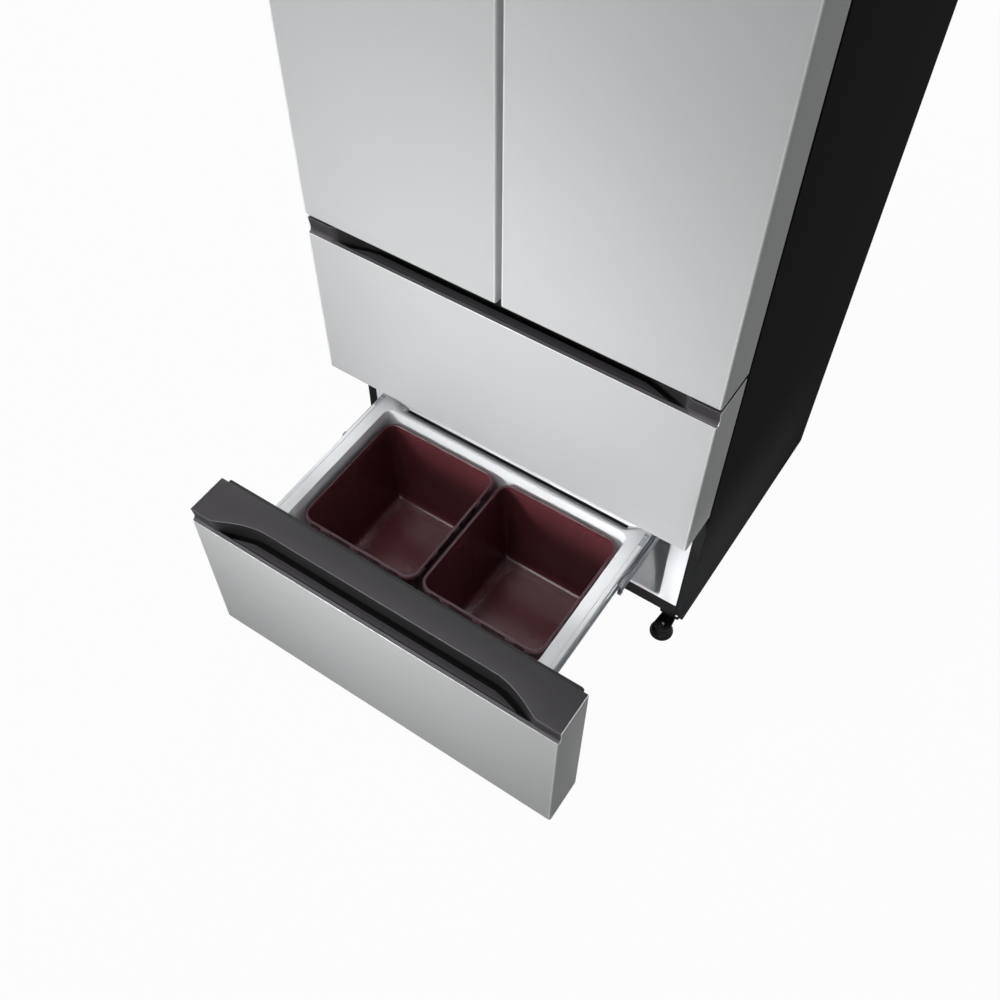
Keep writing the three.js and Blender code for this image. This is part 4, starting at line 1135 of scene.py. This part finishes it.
class KIMCHI_OT_slides(bpy.types.Operator):
    """Make the telescopic slides with their folds, end stops, balls and screws"""

    bl_idname = "kimchi.slides"
    bl_label = "Slides"

    def execute(self, context):
        sizes = context.scene.kimchi_drawers
        for name in DRAWERS:
            for side, sign in SIDES:
                label = f"{side}_{name}"
                self.rail(f"{label}_cabinet_rail", "cabinet", sign, sizes)
                self.rail(f"{label}_floating_rail", f"{name}_slides", sign, sizes)
                self.rail(f"{label}_drawer_rail", f"{name}_drawer", sign, sizes)
                self.details(label, f"{name}_slides", sign, sizes)
        return {"FINISHED"}

    def rail(self, node, body, sign, sizes):
        """One rail; the two that move are slimmer than their solids."""
        low, high = span(node)
        tip, back = inner_outer(low, high, sign)
        middle, half = (low.z + high.z) / 2, (high.z - low.z) / 2
        if "floating" in node:
            back, half = tip + sign * sizes.floating_rail_depth, sizes.floating_rail_height / 2
        if "drawer_rail" in node:
            back, tip = tip, tip + sign * sizes.drawer_rail_depth
            half = sizes.drawer_rail_height / 2
            middle += sizes.drawer_rail_rise
        radius = min(abs(back - tip) * 0.45, 0.0034)
        thickness = min(sizes.slide_wall, radius * 0.9)
        section = channel_section(back, tip, middle, half, thickness, radius)
        piece = Form().bar(section, low.y, high.y).finish(f"{node}_steel", sharp=40)
        place(bevel(piece, 0.0003), "zinc", body, node)

    def details(self, label, body, sign, sizes):
        """Ball cage behind the drawer rail, end stop, and screws through the back plate."""
        low, high = span(f"{label}_floating_rail")
        middle, half = (low.z + high.z) / 2, sizes.floating_rail_height / 2
        front = low.y
        face = inner_outer(low, high, sign)[0]

        def at(out, y, z):
            return face + sign * out, front + y, z
        rows = [middle + sizes.drawer_rail_rise + step for step in (-0.0055, 0.0055)]
        cage = Form()
        for z in rows:
            cage.block(at(-0.0019, 0.004, z - 0.002), at(-0.0006, 0.22, z + 0.002))
        place(cage.finish(f"{label}_ball_cage"), "aluminium", body, slot="zinc_steel")
        spots = [(at(-0.00125, 0.012 + 0.011 * i, z), (0, 0, 1)) for i in range(19) for z in rows]
        scattered(f"{label}_balls", "ball", sizes.ball, spots, "aluminium", body)
        stop = Form().block(at(-0.0017, 0, middle - half - 0.0006),
                            at(sizes.floating_rail_depth + 0.001, 0.009, middle + half + 0.0008))
        stop.block(at(0.0002, 0.0025, middle), at(0.0024, 0.0055, middle + half + 0.001), finish=1)
        stop.block(at(0.001, -0.0002, middle - half * 0.5),
                   at(0.0046, 0.004, middle + half * 0.3), finish=1)
        place(stop.finish(f"{label}_slide_stop"), ("zinc", "black"), body)
        low, high = span(f"{label}_cabinet_rail")
        plate = inner_outer(low, high, sign)[1] - sign * sizes.slide_wall
        spots = [((plate, low.y + (high.y - low.y) * share, middle), (-sign, 0, 0))
                 for share in (0.06, 0.4, 0.75, 0.96)]
        scattered(f"{label}_rail_screws", "screw_head", 0.0075, spots)


# ---------------------------------------------------------------- cabinet

UP, REARWARD, FORWARD = (0, 0, 1), (0, 1, 0), (0, -1, 0)
PROUD = 0.0010  # how far beads, hoods and screws stand out from the sheets at the back
# The pressed fields on the side panels: distances from the case's front and from its foot.
FIELD = ((0.430, 0.038), (0.430, 0.140), (0.4325, 0.149), (0.4375, 0.156), (0.4465, 0.158),
         (0.527, 0.1385), (0.532, 0.133), (0.552, 0.034), (0.549, 0.030), (0.434, 0.030))
FIELD_MIDDLE = (0.49, 0.09)
DRAWER_ROOMS = {"lower": (0.088, 0.386), "middle": (0.455, 0.765)}  # their heights from the floor
BRACKET_SCREW = (0.3838, 0.0494)  # from the middle of the front, and from the floor
FAN_HEIGHT = 0.1097  # the condenser fan's shaft over its foot


class KIMCHI_OT_shell(bpy.types.Operator):
    """Make the painted case, front rail, back panel and hinge cover"""

    bl_idname = "kimchi.shell"
    bl_label = "Case"

    def execute(self, context):
        sizes = context.scene.kimchi_cabinet
        case = Form().node("outer_case").finish("outer_case_shape")
        carve(case, *self.pressed_fields(sizes.recess))
        place(evened(bevel(case, 0.0011, 3)), "case", "cabinet", "outer_case")
        softened("front_rail", "case", 0.0012, 3)
        softened("base_pan", "zinc", 0.0006)
        self.hinge_cover(sizes)
        self.back_panel(sizes)
        nodes["foam_body"].data.materials.clear()
        nodes["foam_body"].data.materials.append(looks["foam"])
        return {"FINISHED"}

    def pressed_fields(self, recess):
        """The shallow fields pressed into both side panels low at the back, with sloping edges."""
        low, high = span("outer_case")
        forms = []
        for sign, face in ((1, high.x), (-1, low.x)):
            floor, mouth = (face - sign * recess, -0.0020), (face + sign * 0.001, 0.0040)
            forms.append(Form().loft([
                [(x, low.y + y + math.copysign(grow, y - FIELD_MIDDLE[0]),
                  low.z + z + math.copysign(grow, z - FIELD_MIDDLE[1])) for y, z in FIELD]
                for x, grow in (floor, mouth)]))
        return forms

    def back_panel(self, sizes):
        """A steel sheet with raised stiffening beads, screwed on round its edge."""
        low, high = span("back_panel")
        beads, end, edge = 7, 0.14, 0.012
        rows = [(low.z, 0), (low.z + 0.08, 0)]
        for i in range(beads):
            z = low.z + end + i * (high.z - low.z - 2 * end) / (beads - 1)
            rows += [(z - 0.016, 0), (z - 0.011, 1), (z + 0.011, 1), (z + 0.016, 0)]
        rows += [(high.z - 0.08, 0), (high.z, 0)]
        columns = [(low.x, 0), (low.x + 0.05, 0), (low.x + 0.056, 1), (high.x - 0.056, 1),
                   (high.x - 0.05, 0), (high.x, 0)]
        rings = [[(x, high.y - PROUD + PROUD * a * b, z) for x, a in columns]
                 + [(x, low.y, z) for x, _ in columns[::-1]] for z, b in rows]
        sheet = Form().loft(rings).finish("back_sheet", sharp=3)
        place(sheet, "back", "cabinet", "back_panel")
        width, height = high.x - low.x - 2 * edge, high.z - low.z - 2 * edge
        across = [low.x + edge + i * width / 5 for i in range(6)]
        upward = [low.z + edge + i * height / 8 for i in range(1, 8)]
        spots = [(x, z) for x in across for z in (low.z + edge, high.z - edge)]
        spots += [(x, z) for x in (across[0], across[-1]) for z in upward]
        scattered("back_sheet_screws", "flat_screw", sizes.screw,
                  [((x, high.y - PROUD, z), REARWARD) for x, z in spots])

    def hinge_cover(self, sizes):
        """The cover over the door hinges, with its sunk screws."""
        low, high = span("hinge_cover")
        floor = high.z - 0.0035
        cover = Form().node("hinge_cover").finish("hinge_cover_shape")
        places = [(x, low.y + 0.11) for x in (low.x + 0.12, 0, high.x - 0.12)]
        carve(cover, *(Form().drum(0.007, floor, high.z + PAST, (x, y, 0), sides=28)
                       for x, y in places))
        place(evened(bevel(cover, 0.0028, 4, 40)), "charcoal", "cabinet", "hinge_cover")
        scattered("hinge_cover_screws", "screw_head", sizes.screw,
                  [((x, y, floor + 0.0001), UP) for x, y in places])


class KIMCHI_OT_liners(bpy.types.Operator):
    """Make the moulded liners of the three compartments"""

    bl_idname = "kimchi.liners"
    bl_label = "Liners"

    def execute(self, context):
        sizes = context.scene.kimchi_cabinet
        for name, (z0, z1) in DRAWER_ROOMS.items():
            self.drawer_liner(name, z0, z1, sizes)
        softened("upper_liner", "white", 0.002, 3)
        return {"FINISHED"}

    def drawer_liner(self, name, z0, z1, sizes):
        """A room between two heights with a flange round its opening."""
        low, high = span(f"{name}_liner")
        face, back, thick = low.y, high.y, sizes.liner
        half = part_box("outer_case")[1].x - sizes.side_wall
        room = outline(-half, half, z0, z1, sizes.room_corner, upright=True)
        flange = outline(low.x, high.x, low.z, high.z, 0.002, 0.002, upright=True)
        levels = layers(room, back, (0.03, 0), (0.012, 0), (thick * -0.4, -0.004), (-thick, -0.012))
        levels += layers(room, face, (-thick, thick))
        levels += layers(flange, face, (0, thick), (0, 0.0006), (0.0006, 0))
        levels += layers(room, face, (-0.003, 0), (-0.0012, 0.0005), (-0.0002, 0.002), (0, 0.004),
                         (0, 0.030), (0.0012, 0.034))
        levels += layers(room, back, (0.0012, -0.034), (0.003, -0.016), (0.008, -0.007),
                         (0.016, -thick - 0.001), (0.028, -thick), (0.045, -thick),
                         (0.05, -thick - 0.002), (0.06, -thick - 0.002))
        piece = Form().loft(levels).finish(f"{name}_room_liner", sharp=45)
        place(piece, "white", "cabinet", f"{name}_liner")


class KIMCHI_OT_upper_rooms(bpy.types.Operator):
    """Make the shelves, air duct cover, evaporator and duct fan"""

    bl_idname = "kimchi.upper_rooms"
    bl_label = "Upper rooms"

    def execute(self, context):
        for side, _ in SIDES:
            self.shelf(f"{side}_shelf")
        softened("duct_cover", "white", 0.0008)
        low, high = span("evaporator")
        fins = finned_coil("evaporator", low, high, context.scene.kimchi_cabinet.fin_pitch)
        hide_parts("evaporator")
        bladed_fan("duct_fan", "y")
        return {"FINISHED"}

    def shelf(self, node):
        """A glass shelf with white rails along its front and rear edges."""
        low, high = span(node)
        pane = Form().block((low.x, low.y + 0.003, low.z + 0.0002),
                            (high.x, high.y - 0.003, high.z), 0.004)
        place(bevel(pane.finish(f"{node}_pane"), 0.0006), "glass", "cabinet", node)
        for label, y0, y1, height in (("front", low.y - 0.002, low.y + 0.012, 0.009),
                                      ("rear", high.y - 0.012, high.y, 0.012)):
            section = rounded(y0, y1, low.z - 0.0001, low.z + height, 0.002, 4)
            rail = Form().bar(section, low.x, high.x, "x")
            place(rail.finish(f"{node}_{label}_rail"), "white")


def finned_coil(name, low, high, pitch):
    """Thin fins in a row with the coil's pipes through them."""
    x0, x1 = low.x + 0.012, high.x - 0.012
    centre = (low + high) / 2
    depth, height = high.y - low.y, high.z - low.z
    fins = plates(f"{name}_fins", int((x1 - x0) / pitch), (x0 + pitch / 2, centre.y, centre.z),
                  (pitch, 0, 0), (0.0004, depth - 0.002, height - 0.006), "aluminium")
    form = Form()
    rows = max(int(height / 0.03), 2)
    ends = (x0 - 0.008, x1 + 0.008)
    for y in (low.y + depth * 0.28, high.y - depth * 0.28):
        path = []
        for i in range(rows):
            z = low.z + 0.014 + i * (height - 0.028) / (rows - 1)
            path += [(ends[i % 2], y, z), (ends[(i + 1) % 2], y, z)]
        form.pipe(path, 0.0035)
    place(form.finish(f"{name}_pipes", sharp=60), "copper")
    return fins


# A blade's section: shares of its half width, and how far its faces rise from its middle plane.
BLADE = ((-1, 0), (-0.6, 0.0010), (0, 0.0014), (0.6, 0.0010), (1, 0), (0.6, -0.0002), (0, 0.0002),
         (-0.6, -0.0002))


def bladed_fan(node, axis, blades=5, hub=0.014, reach=0.0535):
    """A fan with twisted blades on a domed hub, on the body of its own name."""
    low, high = span(node)
    centre = (low + high) / 2
    half = (high.x - low.x if axis == "x" else high.y - low.y) / 2
    root = hub * 0.8
    form = Form().turned(
        [(0, -half), (hub * 0.7, -half), (hub, 0.002 - half), (hub, half - 0.003),
         (root, half - 0.0008), (0, half)], centre, axis, 28)
    for blade in range(blades):
        rings = []
        for share in [i / 7 for i in range(8)]:
            radius = root + (reach - root) * share
            chord = (0.5 - 0.12 * share) * (0.9 + 0.1 * share)
            turn = 2 * math.pi * blade / blades + 0.25 * share
            ring = []
            for across, lift in BLADE:
                spot = polar(radius, turn + across * chord)
                pitch = across * (0.0078 - 0.0022 * share) + lift
                ring.append(centre + Vector(on_axis(axis, *spot, pitch)))
            rings.append(ring)
        form.loft(rings)
    place(form.finish(f"{node}_wheel", sharp=50), "black", node, node)


class KIMCHI_OT_machine_room(bpy.types.Operator):
    """Make the compressor, condenser, fan and vented cover at the bottom of the back"""

    bl_idname = "kimchi.machine_room"
    bl_label = "Machine room"

    def execute(self, context):
        sizes = context.scene.kimchi_cabinet
        self.compressor()
        self.condenser(sizes.fin_pitch)
        bladed_fan("machine_fan", "x")
        self.cover(sizes)
        return {"FINISHED"}

    def compressor(self):
        """The welded shell on its grommets, with its terminal box and pipes."""
        low, high = span("compressor")
        centre = (low + high) / 2
        x, y = centre.x, centre.y
        radius, base = 0.061, low.z + 0.011
        height = high.z - base
        profile = [(0, 0.002), (radius * 0.72, 0.002), (radius * 0.93, 0.012), (radius, 0.03),
                   (radius, 0.088), (radius + 0.0035, 0.09), (radius + 0.0035, 0.096),
                   (radius, 0.098), (radius * 0.985, height - 0.05),
                   (radius * 0.9, height - 0.027), (radius * 0.7, height - 0.011),
                   (radius * 0.4, height - 0.003), (0, height)]
        form = Form().turned(profile, (x, y, base), sides=48)
        form.block((low.x + 0.001, y - 0.05, base), (high.x - 0.001, y + 0.05, base + 0.003), 0.012)
        form.block((x + radius * 0.72, y - 0.026, base + 0.035),
                   (x + radius * 1.24, y + 0.022, base + 0.085), 0.004)
        shell = form.finish("compressor_shell", sharp=40)
        place(bevel(shell, 0.0006), "compressor", "cabinet", "compressor")
        z = low.z
        grommet = [(0, z + 0.0001), (0.0085, z + 0.0001), (0.009, z + 0.004), (0.006, z + 0.0055),
                   (0.009, z + 0.007), (0.0085, base + 0.006), (0.004, base + 0.008),
                   (0, base + 0.008)]
        grommets = Form()
        for foot_x in (low.x + 0.009, high.x - 0.009):
            for foot_y in (y - 0.05, y + 0.05):
                grommets.turned(grommet, (foot_x, foot_y, 0), sides=20)
        place(grommets.finish("compressor_grommets", sharp=50), "rubber")
        z = base + 0.06
        pipes = Form()
        pipes.pipe([(x - 0.055, y - 0.02, z), (x - 0.07, y - 0.02, z),
                    (x - 0.07, y - 0.02, z + 0.15), (x + 0.02, y - 0.045, z + 0.15),
                    (x + 0.24, y - 0.055, z + 0.15)], 0.004)
        pipes.pipe([(x + 0.03, y + 0.045, z + 0.01), (x + 0.045, y + 0.055, z + 0.03),
                    (x + 0.06, y + 0.055, z + 0.12), (x + 0.3, y + 0.045, z + 0.125)], 0.003)
        place(pipes.finish("refrigerant_pipes", sharp=60), "copper")

    def condenser(self, fin_pitch):
        """The finned coil, the shroud before it, and the fan's motor on three arms."""
        low, high = span("condenser")
        start, side = 0.020, 0.021
        finned_coil("condenser", Vector((start, low.y + side, low.z)),
                    Vector((high.x, high.y - side, low.z + 0.17)), fin_pitch)
        shaft = (0, (low.y + high.y) / 2, low.z + FAN_HEIGHT)
        shroud = Form().block(low, (start - 0.004, high.y, high.z), 0.003)
        shroud = carve(shroud.finish("condenser_shroud"),
                       Form().drum(0.0588, low.x - PAST, start + PAST, shaft, "x", 48))
        place(bevel(shroud, 0.0012), "black", "cabinet", "condenser", slot="aluminium")
        motor = Form().turned(
            [(0, -0.050), (0.003, -0.050), (0.003, -0.0495), (0.003, -0.049), (0.018, -0.0485),
             (0.0188, -0.046), (0.0188, -0.036), (0.014, -0.034), (0, -0.034)], shaft, "x", 28)
        middle = Vector(shaft) + Vector((-0.042, 0, 0))
        for angle in (20, 140, 260):
            arm = Vector((0, *polar(0.06, math.radians(angle))))
            motor.pipe([middle, middle + arm], 0.003, 8)
        place(motor.finish("fan_motor", sharp=50), "black")

    def cover(self, sizes):
        """The vented cover, its plate set in by the height of its hoods and screws."""
        low, high = span("machine_cover")

        def set_in(point):
            return Vector((point.x, point.y - (PROUD if point.y > high.y - 0.0025 else 0), point.z))
        plate = Form().node("machine_cover", whole=False).moved(set_in)
        place(plate.finish("machine_cover_plate"), "back", "cabinet", "machine_cover")
        pitch = sizes.louvre_pitch
        for side, sign in SIDES:
            start = (sign * 0.139, high.y - 0.0034, low.z + pitch * 2 + 0.002)
            plates(f"{side}_louvre_hoods", sizes.louvre_rows, start, (0, 0, pitch),
                   (0.23, 0.0076, 0.0008), "back", (math.radians(-35), 0, 0))
        spots = [((x, high.y - PROUD, z), REARWARD) for x in (low.x + 0.014, 0, high.x - 0.014)
                 for z in (low.z + 0.02, high.z - 0.014)]
        scattered("machine_cover_screws", "flat_screw", sizes.screw, spots)


class KIMCHI_OT_feet(bpy.types.Operator):
    """Make the foot brackets, levelling feet and rear rollers"""

    bl_idname = "kimchi.feet"
    bl_label = "Feet"

    def execute(self, context):
        for side, sign in SIDES:
            self.bracket(side, sign)
            self.foot(side)
            self.roller(side)
        return {"FINISHED"}

    def bracket(self, side, sign):
        """The arm over the foot, its pad under the case and the screw before it."""
        node = f"{side}_foot_bracket"
        low, high = span(node)
        foot_low, foot_high = span(f"{side}_levelling_foot")
        x, y, _ = (foot_low + foot_high) / 2
        arm_top = low.z + 0.005

        def boss(inset, z):
            """Round nose over the foot, straight neck back to the pad."""
            radius = (high.x - low.x) / 2 - 0.005 - inset
            nose = [polar(radius, math.pi + math.pi * i / 16) for i in range(17)]
            neck, heel, reach = radius * 0.84, radius + 0.004, high.y - inset
            return [(x + u, y + v, z) for u, v in nose] + [
                (x + neck, y + 0.03, z), (x + heel, reach, z), (x - heel, reach, z),
                (x - neck, y + 0.03, z)]
        arm = Form().loft([boss(0.002, low.z), boss(0, low.z + 0.0012), boss(0, arm_top - 0.0012),
                           boss(0.0015, arm_top)])
        arm.block((low.x + 0.001, high.y - 0.058, arm_top - 0.001),
                  (high.x - 0.001, high.y, high.z), 0.003)
        arm.turned([(0, arm_top + 0.0004), (0.012, arm_top + 0.0004), (0.0135, arm_top - 0.001),
                    (0.0135, low.z + 0.001), (0, low.z + 0.001)], (x, y, 0))
        place(bevel(arm.finish(f"{side}_foot_arm"), 0.0007), "gloss", "cabinet", node)
        spot = (sign * BRACKET_SCREW[0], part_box("outer_case")[0].y, BRACKET_SCREW[1])
        scattered(f"{side}_bracket_screw", "screw_head", 0.0055, [(spot, FORWARD)], "bright")

    def foot(self, side):
        """The ribbed disc with its stem, the six-sided dial and the stem's end."""
        node, body = f"{side}_levelling_foot", f"{side}_foot"
        low, high = span(node)
        centre = (low + high) / 2
        x, y, top = centre.x, centre.y, high.z
        radius, ribs, dial_radius = (high.x - low.x) / 2, 24, 0.0165
        grip = radius - 0.0016
        form = Form().turned(
            [(0, 0.0003), (radius - 0.003, 0), (radius - 0.0005, 0.0012),
             (radius - 0.0002, 0.004), (grip, 0.0075), (grip, 0.009), (radius - 0.004, 0.0125),
             (radius - 0.0042, 0.014), (radius - 0.008, 0.0172), (0.0125, 0.018),
             (0.0115, 0.0184), (0.0102, 0.0256), (0.0048, 0.0257), (0.0048, top - 0.001),
             (0.0038, top), (0, top)], (x, y, 0), sides=40)
        rib = [(0, 0.0015), (0.0014, 0.0018), (0.0014, 0.0072), (0, 0.0078)]
        for u, v in circle(grip, ribs):
            form.turned(rib, (x + u, y + v, 0), sides=8)
        place(form.finish(f"{side}_foot_disc", sharp=40), "gloss", body, node)
        dial = Form().loft([[(x + u, y + v, z) for u, v in circle(dial_radius, 6)]
                            for z in (0.0172, 0.0245)])
        place(bevel(dial.finish(f"{side}_foot_dial"), 0.0012), "gloss", body)
        stud = [((x, y, top - 0.0006), UP)]
        scattered(f"{side}_foot_stud", "screw_head", 0.0055, stud, "zinc", body)

    def roller(self, side):
        """A wheel with a recess in each face, bored for its axle."""
        low, high = span(f"{side}_roller")
        centre = (low + high) / 2
        half, radius = (high.x - low.x) / 2, (high.z - low.z) / 2
        face = [(0.0044, half), (0.008, half), (0.009, half - 0.0015),
                (radius - 0.004, half - 0.0015), (radius - 0.0026, half),
                (radius - 0.001, half - 0.0006), (radius, half - 0.002)]
        profile = [(r, -h) for r, h in face] + face[::-1]
        rings = [[centre + Vector((h, *point)) for point in circle(r, 40)] for r, h in profile]
        wheel = Form().loft(rings, looped=True).finish(f"{side}_roller_wheel", sharp=40)
        place(wheel, "black", f"{side}_rear_roller", f"{side}_roller")


class KIMCHI_OT_hinges(bpy.types.Operator):
    """Make the top and middle hinges"""

    bl_idname = "kimchi.hinges"
    bl_label = "Hinges"

    def execute(self, context):
        for side, _ in SIDES:
            softened(f"{side}_top_hinge", "zinc", 0.0005)
            softened(f"{side}_mid_hinge", "case", 0.0005, slot="zinc_steel")
            low, high = span(f"{side}_top_hinge")
            x = (low.x + high.x) / 2
            spots = [((x + dx, high.y - dy, high.z), UP)
                     for dx, dy in ((0, 0.012), (-0.01, 0.055), (0.01, 0.055))]
            scattered(f"{side}_top_hinge_screws", "screw_head", 0.009, spots)
        return {"FINISHED"}


SMALL_PARTS = ("screw_head", "flat_screw", "ball")


class KIMCHI_OT_small_parts(bpy.types.Operator):
    """Make the node trees and the small parts that they repeat"""

    bl_idname = "kimchi.small_parts"
    bl_label = "Small parts"

    def execute(self, context):
        trees["scatter"] = scatter_tree()
        trees["row"] = row_tree()
        for part in (screw_head("screw_head", 0.28), screw_head("flat_screw", 0.12), ball()):
            part.hide_render = True
        return {"FINISHED"}


# ---------------------------------------------------------------- stage

# Each lamp: its power's name, size, place, target and spread in degrees.
LAMPS = (
    ("key", 1.0, (-1.7, -3.6, 2.0), (0.0, -0.35, 0.74), 22),
    ("top", 1.6, (-0.9, -1.4, 3.6), (0, -0.3, 0.3), 180),
    ("bay", 0.4, (1.9, -2.1, 0.5), (0.39, 0.06, 0.13), 9),
    ("back", 2.4, (-1.6, 3.6, 2.2), (0, 0.4, 0.8), 180),
)
WHITE = (1, 1, 1, 1)
FLOOR_HALF = 8
FLOOR_GLOW = 0.97  # how white the floor is seen
FLOOR_MIRRORED = 0.2  # how much of that a glossy surface mirrors
FLOOR_PAINT = (0.3, 0.3, 0.3, 1)


class KIMCHI_OT_stage(bpy.types.Operator):
    """Make the floor, lamps, even room light and the photograph's camera"""

    bl_idname = "kimchi.stage"
    bl_label = "Stage"

    def execute(self, context):
        sizes = context.scene.kimchi_stage
        scene = context.scene
        scene.view_settings.view_transform = "Standard"
        self.room_light(scene, sizes.sky)
        self.floor()
        for name, *setting in LAMPS:
            self.lamp(f"{name}_lamp", getattr(sizes, name), *setting)
        self.camera(scene, sizes)
        return {"FINISHED"}

    def seen(self, look, glossy, **settings):
        """1 for rays that see the studio as white, a share for mirrored ones, 0 for the others."""
        def rays(kind):
            return look.node("ShaderNodeLightPath", output=f"Is {kind} Ray")
        bounced = rays("Glossy") * glossy + rays("Transmission")
        return look.node(
            "ShaderNodeMath", {0: rays("Camera"), 1: bounced}, operation="ADD", **settings)

    def room_light(self, scene, strength):
        """An even light, seen as white."""
        scene.world = bpy.data.worlds.new("Room")
        look = Look(scene.world)
        even = look.node("ShaderNodeBackground", {"Color": WHITE, "Strength": strength})
        white = look.node("ShaderNodeBackground", {"Color": WHITE})
        blend = {0: self.seen(look, 1, use_clamp=True), 1: even, 2: white}
        mix = look.node("ShaderNodeMixShader", blend)
        look.node("ShaderNodeOutputWorld", {"Surface": mix})

    def floor(self):
        """A floor that is seen as white and reflects as a grey one."""
        form = Form()
        corners = ((-1, -1), (1, -1), (1, 1), (-1, 1))
        form.mesh.faces.new([form.mesh.verts.new((x * FLOOR_HALF, y * FLOOR_HALF, 0))
                             for x, y in corners])
        ground = form.finish("floor", outward=False)
        look = Look.named("floor_white")
        paint = look.node("ShaderNodeBsdfDiffuse", {"Color": FLOOR_PAINT})
        glow = look.node("ShaderNodeEmission", {"Color": WHITE, "Strength": 1.0})
        blend = {0: self.seen(look, FLOOR_MIRRORED) * FLOOR_GLOW, 1: paint, 2: glow}
        look.node("ShaderNodeOutputMaterial", {"Surface": look.node("ShaderNodeMixShader", blend)})
        ground.data.materials.append(look.owner)

    def lamp(self, name, power, size, spot, target, spread):
        light = bpy.data.lights.new(name, "AREA")
        light.spread = math.radians(spread)
        light.energy = power
        light.size = size
        lamp = added(name, light)
        lamp.location = spot
        lamp.rotation_euler = (Vector(target) - Vector(spot)).to_track_quat("-Z", "Y").to_euler()

    def camera(self, scene, sizes):
        view = bpy.data.cameras.new("photograph")
        view.lens = sizes.lens
        view.sensor_width = 36
        view.shift_x = sizes.shift_x
        view.shift_y = sizes.shift_y
        camera = added("photograph", view)
        camera.location = sizes.camera_place
        camera.rotation_euler = Euler((math.pi / 2 - sizes.camera_down, 0, sizes.camera_turn))
        scene.camera = camera


# ---------------------------------------------------------------- panel and run

OPERATORS = (
    KIMCHI_OT_materials, KIMCHI_OT_small_parts, KIMCHI_OT_drawer_fronts, KIMCHI_OT_doors,
    KIMCHI_OT_tubs, KIMCHI_OT_containers, KIMCHI_OT_slides, KIMCHI_OT_shell, KIMCHI_OT_liners,
    KIMCHI_OT_upper_rooms, KIMCHI_OT_machine_room, KIMCHI_OT_feet, KIMCHI_OT_hinges,
    KIMCHI_OT_stage,
)
GROUPS = {
    "kimchi_fronts": FrontSizes,
    "kimchi_drawers": DrawerSizes,
    "kimchi_cabinet": CabinetSizes,
    "kimchi_colours": Colours,
    "kimchi_stage": StageSizes,
}


class KIMCHI_PT_refrigerator(bpy.types.Panel):
    """The pieces of the refrigerator and their sizes"""

    bl_label = "Kimchi refrigerator"
    bl_space_type = "VIEW_3D"
    bl_region_type = "UI"
    bl_category = "Kimchi refrigerator"

    def draw(self, context):
        for step in OPERATORS:
            self.layout.operator(step.bl_idname)
        for name in GROUPS:
            group = getattr(context.scene, name)
            box = self.layout.box()
            for field in group.bl_rna.properties:
                if field.identifier not in ("rna_type", "name"):
                    box.prop(group, field.identifier)


def register():
    for name, group in GROUPS.items():
        bpy.utils.register_class(group)
        setattr(bpy.types.Scene, name, bpy.props.PointerProperty(type=group))
    for kind in (*OPERATORS, KIMCHI_PT_refrigerator):
        bpy.utils.register_class(kind)


def unregister():
    for kind in (KIMCHI_PT_refrigerator, *reversed(OPERATORS)):
        bpy.utils.unregister_class(kind)
    for name, group in GROUPS.items():
        delattr(bpy.types.Scene, name)
        bpy.utils.unregister_class(group)


def main():
    register()
    for step in OPERATORS:
        section, action = step.bl_idname.split(".")
        getattr(getattr(bpy.ops, section), action)()
    for part in SMALL_PARTS:
        bpy.data.objects.remove(bpy.data.objects[part])


if __name__ == "__main__":
    main()
